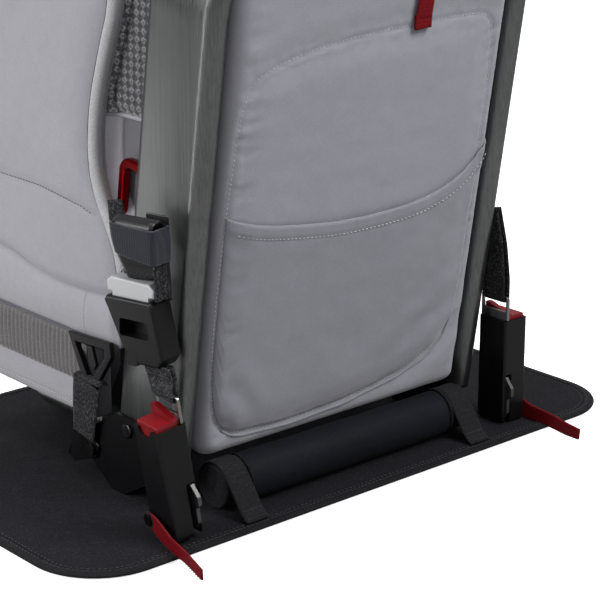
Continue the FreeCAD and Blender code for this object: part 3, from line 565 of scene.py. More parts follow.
def tube(name, pts, r, mat, body, seg=8, step=0.003, squash_n=None, **kw):
    P = resample(pts, step)
    for _ in range(2):
        P[1:-1] = 0.25 * P[:-2] + 0.5 * P[1:-1] + 0.25 * P[2:]
    T = np.gradient(P, axis=0)
    T /= np.linalg.norm(T, axis=1)[:, None] + 1e-12
    ref = np.array([0.31, 0.17, 0.93])
    S = np.cross(T, ref)
    S /= np.linalg.norm(S, axis=1)[:, None]
    B = np.cross(S, T)
    R = np.array(r if hasattr(r, "__len__") else [r] * len(P), float)
    if len(R) != len(P):
        R = np.interp(np.linspace(0, 1, len(P)), np.linspace(0, 1, len(R)), R)
    R = R.copy()
    R[0] *= 0.4
    R[-1] *= 0.4
    a = np.linspace(0, 2 * math.pi, seg, endpoint=False)
    ring = P[:, None, :] + R[:, None, None] * (S[:, None, :] * np.cos(a)[None, :, None] + B[:, None, :] * np.sin(a)[None, :, None])
    v = ring.reshape(-1, 3)
    f = []
    for i in range(len(P) - 1):
        for j in range(seg):
            k = (j + 1) % seg
            f.append((i * seg + j, i * seg + k, (i + 1) * seg + k, (i + 1) * seg + j))
    f.append(tuple(range(seg)))
    f.append(tuple((len(P) - 1) * seg + j for j in range(seg))[::-1])
    return obj(name, v, f, mat, body, **kw)


def stitches(name, pts, normal, mat, body, length=0.0024, gap=0.0018, r=0.00035, lift=0.0002, ride=True, normals=None):
    """a row of thread stitches along pts (metres)"""
    L = length + gap
    P0 = np.array([tuple(p) for p in pts], float)
    d = np.r_[0, np.cumsum(np.linalg.norm(np.diff(P0, axis=0), axis=1))]
    n = max(1, int(d[-1] / L))
    verts, faces = [], []
    nn = np.array(normal, float) if normals is None else None
    for k in range(n):
        t0, t1 = k * L, k * L + length
        a = np.array([np.interp(t0, d, P0[:, q]) for q in range(3)])
        b = np.array([np.interp(t1, d, P0[:, q]) for q in range(3)])
        if normals is not None:
            NA = np.array([tuple(p) for p in normals], float)
            nv = np.array([np.interp(t0, d, NA[:, q]) for q in range(3)])
        else:
            nv = nn
        nv = nv / (np.linalg.norm(nv) + 1e-12)
        t = b - a
        if np.linalg.norm(t) < 1e-6:
            continue
        t /= np.linalg.norm(t)
        s = np.cross(t, nv)
        s /= np.linalg.norm(s) + 1e-12
        prof = [(0.0, 0.15), (0.15, 0.8), (0.5, 1.0), (0.85, 0.8), (1.0, 0.15)]
        base = len(verts)
        for q, g in prof:
            c = a + (b - a) * q + nv * (lift + r * 0.6 * g)
            for ang in range(5):
                x = 2 * math.pi * ang / 5
                verts.append(c + s * (r * (0.35 + 0.65 * g)) * math.cos(x) + nv * r * g * math.sin(x))
        for i in range(len(prof) - 1):
            for j in range(5):
                m = (j + 1) % 5
                faces.append((base + i * 5 + j, base + i * 5 + m, base + (i + 1) * 5 + m, base + (i + 1) * 5 + j))
        faces.append(tuple(base + j for j in range(5)))
        faces.append(tuple(base + 20 + j for j in range(5))[::-1])
    return obj(name, verts, faces, mat, body, ride=ride)


def hard(node, mat, bevel=0.0006, seg=2, angle=35):
    """material and highlight-catching bevel for a CAD node"""
    o = NODES[node]
    o.data.materials.clear()
    o.data.materials.append(MAT[mat] if isinstance(mat, str) else mat)
    w = o.modifiers.new("weld", "WELD")
    w.merge_threshold = 0.00002
    if bevel:
        b = o.modifiers.new("bevel", "BEVEL")
        b.width = bevel
        b.segments = seg
        b.limit_method = "ANGLE"
        b.angle_limit = math.radians(angle)
        b.harden_normals = False
        b.use_clamp_overlap = True
    wn = o.modifiers.new("wn", "WEIGHTED_NORMAL")
    wn.keep_sharp = True
    for p in o.data.polygons:
        p.use_smooth = True
    return o


# ------------------------------------------------------ camera, floor, light
cam_d = bpy.data.cameras.new("camera")
cam = bpy.data.objects.new("camera", cam_d)
bpy.context.scene.collection.objects.link(cam)
A, E = math.radians(41.26), math.radians(17.81)
back = Vector((math.sin(A) * math.cos(E), math.cos(A) * math.cos(E), math.sin(E)))
right = Vector((-math.cos(A), math.sin(A), 0.0))
up = back.cross(right)
rot = Matrix((right, up, back)).transposed().to_4x4()
cam.matrix_world = Matrix.Translation(Vector((1.14809, 1.38625, 0.70806))) @ rot
cam_d.lens = 120.24
cam_d.sensor_width = 36.0
cam_d.clip_start = 0.05
bpy.context.scene.camera = cam


def stage_floor():
    me = bpy.data.meshes.new("floor")
    s = 6.0
    me.from_pydata([(-s, -s, -0.0006), (s, -s, -0.0006), (s, s, -0.0006), (-s, s, -0.0006)], [], [(0, 1, 2, 3)])
    o = bpy.data.objects.new("floor", me)
    bpy.context.scene.collection.objects.link(o)
    a = M("floor_white").set(rough=0.9, spec=0.1)
    n = a.noise(2.0, 2)
    lp = a.n("ShaderNodeLightPath")
    pale = a.ramp(n, [(0.3, (0.90, 0.90, 0.90)), (0.7, (0.92, 0.92, 0.92))])
    sp = a.n("ShaderNodeSeparateXYZ")
    a.link(a.tc, sp.inputs[0])
    dx = a.math("SUBTRACT", sp.outputs[0], 0.19)
    dy = a.math("SUBTRACT", 0.08, sp.outputs[1])
    ang = a.math("ARCTAN2", dy, dx)
    card = a.ramp(a.math("DIVIDE", ang, 3.2), [(0.10, (0.30, 0.30, 0.30)), (0.20, (0.16, 0.16, 0.16)), (0.29, (0.16, 0.16, 0.16)), (0.40, (0.92, 0.92, 0.92)), (0.50, (0.92, 0.92, 0.92)), (0.60, (0.36, 0.36, 0.36))])
    a.color(a.mix(lp.outputs["Is Camera Ray"], card, pale))
    a.p.inputs["Emission Color"].default_value = (1, 1, 1, 1)
    a.link(a.math("MULTIPLY", lp.outputs["Is Camera Ray"], 0.72), a.p.inputs["Emission Strength"])
    me.materials.append(a.m)


def area(name, loc, target, size, power, col=(1, 1, 1), size_y=None):
    d = bpy.data.lights.new(name, "AREA")
    d.energy = power
    d.color = col
    d.size = size
    if size_y:
        d.shape = "RECTANGLE"
        d.size_y = size_y
    o = bpy.data.objects.new(name, d)
    bpy.context.scene.collection.objects.link(o)
    o.location = loc
    o.rotation_euler = (Vector(target) - Vector(loc)).to_track_quat("-Z", "Y").to_euler()
    o.visible_camera = False
    return o


stage_floor()
world = bpy.data.worlds.new("studio")
world.use_nodes = True
bg = world.node_tree.nodes["Background"]
bg.inputs[0].default_value = (1.0, 1.0, 1.0, 1.0)
wl = world.node_tree.nodes.new("ShaderNodeLightPath")
wm = world.node_tree.nodes.new("ShaderNodeMapRange")
wm.inputs["To Min"].default_value = 0.26
wm.inputs["To Max"].default_value = 1.0
world.node_tree.links.new(wl.outputs["Is Camera Ray"], wm.inputs["Value"])
world.node_tree.links.new(wm.outputs["Result"], bg.inputs[1])
bpy.context.scene.world = world
vs = bpy.context.scene.view_settings
vs.view_transform = "Standard"
vs.look = "None"
vs.exposure = 0.0
vs.gamma = 1.0
C0 = (0.0, 0.06, 0.25)
area("key", (2.7, -0.6, 1.5), (0.1, -0.05, 0.25), 1.3, 57)
area("rear_soft", (-0.5, 1.5, 1.9), (0.0, 0.15, 0.50), 1.0, 37)
area("strip", (2.2, 2.4, 1.3), (0.1, 0.1, 0.25), 0.25, 4.0, size_y=1.6)
area("low_strip", (0.62, -0.13, 0.26), (0.19, 0.02, 0.28), 0.032, 0.50, size_y=0.56)
area("top", (0.0, 0.1, 2.8), C0, 1.8, 42)
area("front_soft", (-1.4, -2.4, 1.8), (0, -0.1, 0.3), 1.6, 16)

# --------------------------------------------------------------- hard parts
hard("back_hoop", "alu", 0.0)
hard("leg_end_caps", "cap", 0.0010)
hard("lower_cross_tube", "satin", 0.0)
hard("hinge_brackets", "bracket", 0.0008, 3)
hard("leg_bolts", "dsteel", 0.0005)
hard("anchor_rivets", "dsteel", 0.0006)
hard("pivot_pins", "dsteel", 0.0005)
hard("anchor_plates", "dsteel", 0.0006)
hard("triangle_guides", "black", 0.0009, 3)
hard("belt_guides", "redano", 0.0018, 4)
hard("adjuster_body_left", "black", 0.0016, 3)
hard("adjuster_button_left", "greybtn", 0.0022, 4)
hard("back_board", "board", 0.0008)
hard("headrest_slider", "board", 0.0008)
hard("headrest_shell", "shell", 0.0012)
hard("chest_clip", "black", 0.0008)
hard("buckle_body", "black", 0.0012, 3)
hard("buckle_button", "redbtn", 0.0008, 3)
hard("harness_tongues", "zinc", 0.0005)
hard("seat_frame", "alu2", 0.0)
hard("seat_arms", "dsteel", 0.0008)
hard("seat_pan", "board", 0.0008)
hard("front_feet", "cap", 0.0012, 3)
for side in ("left", "right"):
    hard("connector_housing_" + side, "satin", 0.0007, 3)
    hard("connector_link_" + side, "zinc", 0.0004)
    hard("connector_button_" + side, "redbtn", 0.0005, 2)
    hard("connector_hook_" + side, "hooksteel", 0.0005)
    hard("connector_pawl_" + side, "hooksteel", 0.0003)
    hard("connector_rivets_" + side, "dsteel", 0.0004)


# ------------------------------------------------------------ the rear cover
def rr_half(u, u0, u1, rb, rt, hw):
    """half width of a rounded rectangle at height u"""
    u = np.asarray(u, float)
    x = np.full(u.shape, float(hw))
    k = u < u0 + rb
    x[k] = hw - rb + np.sqrt(np.clip(rb * rb - (u0 + rb - u[k]) ** 2, 0, None))
    k = u > u1 - rt
    x[k] = hw - rt + np.sqrt(np.clip(rt * rt - (u[k] - u1 + rt) ** 2, 0, None))
    return x


def lean_arr(X, Wd, U):
    Y = (Wd * CS + U * SN + YS) / 1000.0
    Z = (39.0 - Wd * SN + U * CS) / 1000.0
    return np.stack([X / 1000.0, Y, Z], -1)


def spaced(lo, hi, step, edge=10.0, fine=1.0):
    n = int((hi - lo) / step)
    a = list(np.linspace(lo + edge, hi - edge, max(3, n)))
    e = [lo + edge * (1 - math.cos(t)) for t in np.linspace(0, math.pi / 2, 6)[:-1]]
    g = [hi - edge * (1 - math.cos(t)) for t in np.linspace(0, math.pi / 2, 6)[:-1]][::-1]
    return np.array(e + a + g)


SEAM = chaikin([(-137, 340), (-134, 362), (-128, 377), (-108, 381.5), (-17, 379.6), (61, 374), (114, 364), (139, 353), (147, 335), (150, 300), (153, 240), (155, 150), (153, 80), (149, 52), (142, 38), (124, 30.5), (60, 27), (0, 30),
                (-72, 41), (-108, 55), (-128, 80), (-134, 105), (-136, 200), (-137, 280)], 2, closed=True)
POCK = [(-152, 264), (-134, 246), (-125, 238), (-90, 221), (-42, 213.5), (29, 213), (109, 224), (150, 236), (156, 238)]
TAB_SLIT = (-40.0, 427.0)


def pocket_top(x):
    p = np.array(chaikin(POCK, 2))
    return np.interp(x, p[:, 0], p[:, 1])


def rear_height(X, U):
    hw = rr_half(U, 11, 499.5, 14, 98, 158.0)
    outline = []
    for u in list(np.linspace(11, 25, 10)) + list(np.linspace(30, 400, 30)) + list(np.linspace(402, 499.5, 46)):
        outline.append((float(rr_half(np.array([u]), 11, 499.5, 14, 98, 158.0)[0]), u))
    ring = outline + [(-(a - 6.0), b) for a, b in outline[::-1]]
    d = seg_dist(X, U, ring, closed=True)
    R = 13.0
    h = 15.2 * np.sqrt(np.clip(1 - (1 - np.clip(d / R, 0, 1)) ** 2, 0, 1))
    ds = seg_dist(X, U, SEAM, closed=True)
    inside = (np.abs(X) < 140) & (U > 40) & (U < 480)
    h = h + 2.2 * sm(2, 26, ds) * sm(4, 20, d)                        # soft crown off the seam
    h = h - 1.5 * np.exp(-(ds / 2.0) ** 2) * sm(2.0, 8.0, d)          # the seam's groove
    # puckers along the seam, fine and irregular
    pk = vnoise(X / 7.0 + 0.15 * U, U / 4.6, 3) * np.exp(-((ds - 5) / 6.5) ** 2) * 0.55
    h = h + pk * sm(2, 9, d)
    # sideways gathers beside the legs
    side = np.exp(-((np.abs(X) - 146) / 14.0) ** 2)
    h = h + 1.1 * side * vnoise(X / 60.0, U / 6.2 + 0.02 * X, 7) * sm(5, 14, d)
    # slack folds at the lower right corner
    g = np.exp(-(((X + 104) / 40.0) ** 2 + ((U - 78) / 46.0) ** 2))
    h = h + 1.7 * g * np.sin((X * 0.55 + U * 0.85) / 6.2 + 0.8 * vnoise(X / 22, U / 22, 5))
    g2 = np.exp(-(((X - 132) / 26.0) ** 2 + ((U - 60) / 34.0) ** 2))
    h = h + 1.2 * g2 * np.sin((X * 0.8 - U * 0.6) / 5.2)
    h = h + 1.3 * vnoise(X / 64.0, U / 58.0, 1) * sm(3, 30, d) + 0.30 * vnoise(X / 15.0, U / 13.0, 2) * sm(3, 20, d)
    return h, d


def build_rear():
    U = np.concatenate([11.02 + 14 * (1 - np.cos(np.linspace(0, math.pi / 2, 12)))[:-1], np.arange(26, 401, 2.5), 499.4 - 98 * (1 - np.sin(np.linspace(0, math.pi / 2, 38)))])
    U = np.unique(np.round(U, 3))
    U = U[(U > 11.01) & (U < 499.45)]
    hw = rr_half(U, 11, 499.5, 14, 98, 158.0)
    c = np.linspace(-1, 1, 121)
    c = np.sign(c) * (1 - (1 - np.abs(c)) ** 1.22)
    X = c[None, :] * (hw[:, None] - 6.0 * (c[None, :] < 0))
    UU = np.repeat(U[:, None], len(c), 1)
    h, d = rear_height(X, UU)
    front = lean_arr(X, np.clip(1.2 + h, 1.0, 19.6), UU)
    backs = lean_arr(X * 0.999, np.full(X.shape, -11.6), UU)
    v, f = closed_grid(front, backs)
    o = obj("rear_cover_cloth", v, f, "rear", "back_frame", replaces=("rear_cover",), slot="grey_fabric")
    return o


def rear_w(x, u):
    h, d = rear_height(np.array([[float(x)]]), np.array([[float(u)]]))
    return 1.2 + float(h[0, 0])


def rear_pts(poly, lift, step=3.0):
    out = []
    for x, u in resample(poly, step):
        out.append(LN(x, rear_w(x, u) + lift, u))
    return out


BN = (0.0, CS, -SN)        # outward normal of the rear face


def build_rear_trim():
    # the seam's dotted stitch, and the welt along the lower edge
    ring = SEAM + [SEAM[0]]
    pts = resample(ring, 4.2)
    out = [LN(x, rear_w(x, u) + 0.1, u) for x, u in pts]
    stitches("rear_seam_stitch", out, BN, "stitch", "back_frame", 0.0018, 0.0024, 0.00034)
    low = [(p[0], p[1]) for p in resample([(140, 38), (130, 30.5), (116, 27), (60, 24), (0, 27), (-72, 38), (-106, 50.5), (-124, 66), (-131, 88)], 4.0)]
    tube("rear_bottom_piping", [LN(x, rear_w(x, u) + 0.2, u) for x, u in low], 0.0014, "rear2", "back_frame", seg=8)
    stitches("rear_bottom_stitch", [LN(x * 0.975, rear_w(x * 0.975, u + 6) + 0.1, u + 6) for x, u in low], BN, "stitch", "back_frame", 0.0026, 0.0022, 0.00045)


POCK_LOW = np.array([(-150, 112), (-134, 108), (-129, 86), (-120, 70), (-108, 58), (-90, 49.5), (-72, 43.5), (-36, 36.5), (0, 32.5), (60, 29.5), (110, 32), (124, 33.5), (138, 39), (144, 46), (149, 58), (153, 86)], float)


def build_pocket():
    # a separate sheet: its lower edge is in the seam, its hemmed top edge stands open
    c = np.linspace(-1, 1, 111)
    n = 74
    rows = []
    T = np.linspace(0, 1, n)
    X = np.zeros((n, len(c)))
    U = np.zeros((n, len(c)))
    for i, t in enumerate(T):
        for j, s in enumerate(c):
            xr = -134.0 - 12.5 * float(sm(0.72, 1.0, t))
            x = xr + (153.0 - xr) * 0.5 * (s + 1)
            top = pocket_top(x)
            u0 = float(np.interp(x, POCK_LOW[:, 0], POCK_LOW[:, 1]))
            X[i, j] = x
            U[i, j] = u0 + t * (top - u0)
    H, d = rear_height(X, U)
    dt = pocket_top(X) - U
    u0 = U[0:1, :]
    lowd = U - u0
    # stands off the cover, most at the open top, pinned at its other edges
    pin = sm(0, 10, lowd) * sm(0, 9, 153.0 - X) * sm(0, 9, X + 146.6)
    off = 1.0 + pin * (1.7 + 1.9 * sm(120, 0, dt) * np.cos(X / 141.0 * 1.35))
    off = off + 0.45 * vnoise(X / 38.0, U / 30.0, 12) * pin + 0.35 * vnoise(X / 9.0, U / 16.0, 14) * np.exp(-((dt - 14) / 8.0) ** 2)
    hem = 0.9 * sm(13.5, 11.8, dt)
    groove = -0.8 * np.exp(-((dt - 12.5) / 1.4) ** 2)
    Wf = np.clip(1.2 + H + off + hem + groove, 1.5, 25.0)
    th = 0.9 + 0.9 * sm(13.0, 12.0, dt)
    top_round = np.exp(-(dt / 0.8) ** 2) * 0.5
    front = lean_arr(X, Wf - top_round, U)
    backs = lean_arr(X, Wf - th - 0.2, U)
    v, f = closed_grid(front, backs)
    o = obj("rear_pocket_cloth", v, f, "rear2", "back_frame", replaces=("rear_pocket",), slot="grey_fabric", ride=True)
    global pocket_area
    ax = 0.5 * np.linalg.norm(np.cross(front[1:, 1:] - front[:-1, :-1], front[1:, :-1] - front[:-1, 1:]), axis=-1)
    pocket_area = float(ax.sum())
    pts, pts2 = [], []
    for x in np.arange(-146, 151, 3.0):
        for k, (lst, dd) in enumerate(((pts, 12.4), (pts2, 1.8))):
            u = float(pocket_top(x)) - dd
            j = int(np.argmin(np.abs(X[-4, :] - x)))
            i = int(np.argmin(np.abs(U[:, j] - u)))
            lst.append(LN(x, Wf[i, j] + 0.15, u))
    a = stitches("pocket_hem_stitch", pts, BN, "stitch", "back_frame", 0.0026, 0.0020, 0.00042)
    area_m = float(2 * 141.0 * 205.0) / 1e6
    return o, a


rear = build_rear()
build_rear_trim()
pocket, pocket_st = build_pocket()


def tab_w(x, u):
    return max(rear_w(x + a, u - b) for a in (-9.0, 0.0, 9.0) for b in (0.0, 3.0, 6.0, 9.0, 12.5)) + 2.3


# red woven tab, folded at its end, out of a slit in the cover
def build_tab():
    xs = [-38.2, -38.6, -39.4, -40.2, -40.8, -41.2]
    us = [441.0, 430.0, 415.0, 400.0, 388.0, 378.0]
    pts = []
    for x, u in zip(xs, us):
        pts.append(LN(x, tab_w(x, u) + 1.2 * math.sin(max(0.0, (430 - u)) / 52.0 * math.pi), u))
    end = LN(-41.3, tab_w(-41.3, 376.4), 376.4)
    pts.append(end)
    back_ = [LN(x, rear_w(x, u) + 0.7, u) for x, u in ((-41.2, 379.0), (-40.8, 384.0))]
    w = [0.0180, 0.0180, 0.0182, 0.0186, 0.0192, 0.0196, 0.0194]
    o = ribbon("release_tab_tape", pts, w, 0.0015, BN, "redtab", "release_tab", edge=0.0002, replaces=("fold_release_tab",), slot="red_web")
    row = [LN(x, tab_w(-40.8, 387) + 1.6, 387.2) for x in np.linspace(-48.6, -32.8, 12)]
    stitches("release_tab_stitch", row, BN, "redweb", "release_tab", 0.0016, 0.0008, 0.0004)
    # folded end: a second, shorter layer under the first
    ribbon("release_tab_fold", [LN(-41.2, tab_w(-41.2, 377) - 1.15, 377.0), LN(-41.0, tab_w(-41, 383) - 1.0, 383.0), LN(-40.7, tab_w(-40.7, 389) - 0.8, 389.0)], [0.0196, 0.0192, 0.0190], 0.0009, BN, "redtab", "release_tab")


build_tab()


# ---------------------------------------------------------------- side wings
WING = [(-62, 141), (-61, 180), (-60, 216), (-72, 240), (-90, 268), (-99, 300), (-92, 350), (-75, 398), (-56, 440), (-60, 462),
        (-110, 470), (-190, 468), (-244, 462), (-262, 430), (-274, 370), (-285, 300), (-291, 220), (-292, 160), (-284, 143), (-200, 139.5), (-120, 139.5)]
WREAR = chaikin([(-62, 146), (-61, 180), (-62, 216), (-74, 240), (-92, 268), (-100, 300), (-95, 345), (-80, 392), (-62, 436), (-66, 458)], 2)


def band_hi(y):
    return np.interp(y, [-290, -225, -190, -150, -110, -62], [196.0, 190.0, 182.0, 177.5, 178.0, 182.0])


def wing_side(sign):
    """one padded side wing, outer face full of soft shape, piping on its rear edge"""
    z = np.arange(141.5, 468.0, 3.4)
    wr = np.array(WREAR)
    yr = np.interp(z, wr[:, 1], wr[:, 0])
    fr = np.array(chaikin([(-284, 141), (-291, 160), (-291, 220), (-285, 300), (-274, 370), (-262, 430), (-246, 460), (-236, 468)], 2))
    yf = np.interp(z, fr[:, 1], fr[:, 0])
    s = np.linspace(0, 1, 78)
    s = 0.5 - 0.5 * np.cos(s * math.pi) * (1 - 0.12) - 0.0
    s = (s - s[0]) / (s[-1] - s[0])
    Y = yf[:, None] + (yr - yf)[:, None] * s[None, :]
    Z = np.repeat(z[:, None], len(s), 1)
    ring = [(a, b) for a, b in zip(yr, z)] + [(a, b) for a, b in zip(yf[::-1], z[::-1])]
    d = seg_dist(Y, Z, ring, closed=True)
    R = 17.0
    e = np.sqrt(np.clip(1 - (1 - np.clip(d / R, 0, 1)) ** 2, 0, 1))
    seamy = [(-300, 262), (-236, 262), (-172, 262), (-110, 255), (-70, 244)]
    ds = seg_dist(Y, Z, seamy)
    out = 11.2 * e + 1.4 * sm(3, 40, d) - 2.2 * np.exp(-(ds / 2.2) ** 2) * sm(3, 9, d)
    out = out + 1.6 * sm(0, 45, ds) * sm(4, 25, d) * (Z > 262) + 0.9 * vnoise(Y / 46.0, Z / 42.0, 21) * sm(4, 20, d) + 0.25 * vnoise(Y / 12.0, Z / 12.0, 22)
    inn = 12.0 * e + 1.0 * vnoise(Y / 46.0, Z / 42.0, 25) * sm(4, 20, d)
    mid = 173.6
    out = out - 6.5 * sm(8, -5, Z - band_hi(Y))
    Xo = np.clip(mid + out, 162, 188.5)
    Xi = np.clip(mid - inn, 160.6, 186)
    Xi = np.where((Y > -110) & (Z < 505), np.maximum(Xi, 161.6), Xi)
    P = np.stack([sign * Xo / 1000, (Y + YS) / 1000, Z / 1000], -1)
    Q = np.stack([sign * Xi / 1000, (Y + YS) / 1000, Z / 1000], -1)
    return P, Q, (Y, Z, Xo)


def build_wings():
    vs_, fs_ = [], []
    for sign in (1, -1):
        P, Q, _ = wing_side(sign)
        v, f = closed_grid(P, Q)
        fs_ += [tuple(i + len(vs_) for i in q) for q in f]
        vs_ += [tuple(p) for p in v]
    o = obj("side_wing_pads", vs_, fs_, "wing", "back_frame", replaces=("side_wings",), slot="wing_fabric")
    kids = [o]
    for sign, nm in ((1, "left"), (-1, "right")):
        path = [(a, b) for a, b in WREAR if b > 200]
        pts = [F(sign * 179.0, a + 2.5, b) for a, b in resample(path, 4)]
        kids.append(tube("wing_piping_" + nm, pts, 0.0062, "knitpipe", "back_frame", seg=12, ride=True, slot="light_fabric"))
        edge_ = [F(sign * 182.4, a - 3.3, b) for a, b in resample(path, 4)]
        kids.append(tube("wing_piping_line_" + nm, edge_, 0.0007, "stitchdk", "back_frame", seg=6))
        inner = [F(sign * 172.0, a + 4.0, b) for a, b in resample(path, 4)]
        kids.append(tube("wing_seam_" + nm, inner, 0.0018, "light", "back_frame", seg=8))
        pts2 = [F(sign * 186.0, a, b) for a, b in resample([(-286, 262.5), (-236, 262), (-172, 262), (-110, 255.5), (-92, 251)], 4)]
        kids.append(stitches("wing_stitch_" + nm, pts2, (sign, 0, 0), "stitchblk", "back_frame", 0.0022, 0.0022, 0.0004))
    return kids


wing_kids = build_wings()


# ------------------------------------------ mesh insets beside the frame's legs
def build_mesh():
    vs_, fs_ = [], []
    vi, fi = [], []
    for sign in (1, -1):
        for part in ("mesh", "inset"):
            z = np.arange(151.0, 337.1, 2.0) if part == "inset" else np.arange(336.0, 471.0, 1.2)
            yb = -14.0 * CS + (z - 39.0) * SN / CS
            t = np.linspace(0, 1, 150)
            yy = -142.0 + (yb + 142.0)[:, None] * t[None, :]
            zz = np.repeat(z[:, None], len(t), 1)
            wr = np.array(WREAR)
            yr = np.interp(zz, wr[:, 1], wr[:, 0])
            if part == "mesh":
                a = (yy + YS) / 9.2 * math.pi
                b = zz / 7.4 * math.pi
                blob = np.cos(a + b) * np.cos(a - b)
                X = 158.4 + 8.0 * sm(336, 348, zz) * sm(6, -14, yy)
                X = np.maximum(X, 158.4 + 13.0 * sm(16, 2, yy - yr))
                X = X + (0.9 * np.clip(blob, -0.6, 1) + 0.25 * vnoise(yy / 2.2, zz / 2.2, 31)) * (1 - 0.92 * sm(22, 14, yy - yr))
            else:
                X = 158.4 + 13.0 * sm(16, 2, yy - yr) + 0.4 * vnoise(yy / 14, zz / 26, 33)
            P = np.stack([sign * X / 1000, (yy + YS) / 1000, zz / 1000], -1)
            Q = P.copy()
            Q[..., 0] = sign * 0.1522
            v, f = closed_grid(P, Q)
            tv, tf = (vs_, fs_) if part == "mesh" else (vi, fi)
            n0 = len(tv)
            tf += [tuple(i + n0 for i in q) for q in f]
            tv += [tuple(p) for p in v]
    o = obj("wing_spacer_mesh", vs_, fs_, "mesh", "back_frame", replaces=("wing_meshes",), slot="mesh_fabric")
    q = obj("wing_inset_cloth", vi, fi, "inset", "back_frame", slot="light_fabric")
    for sign, nm in ((1, "left"), (-1, "right")):
        pts = [F(sign * (160.0 + 12.4 * float(sm(16, 2, y_ + 96.6))), y_, 337.2) for y_ in np.linspace(-141, 26, 50)]
        wl_ = tube("mesh_welt_" + nm, pts, 0.0019, "light", "back_frame", seg=8)
        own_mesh(wl_)
    for w_ in (o, q):
        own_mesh(w_)
    return o, q


build_mesh()

# --------------------------------------------------- strap, keeper, adjuster
NL = (math.cos(LK), math.sin(LK), 0.0)


def arc_pts(n0, n1, ztop, w=0.0, k=9):
    r = abs(n1 - n0) / 2.0
    c = (n0 + n1) / 2.0
    return [TL(c + r * math.cos(a) * (1 if n1 > n0 else -1), w, ztop - r + r * math.sin(a)) for a in np.linspace(0, math.pi, k)]


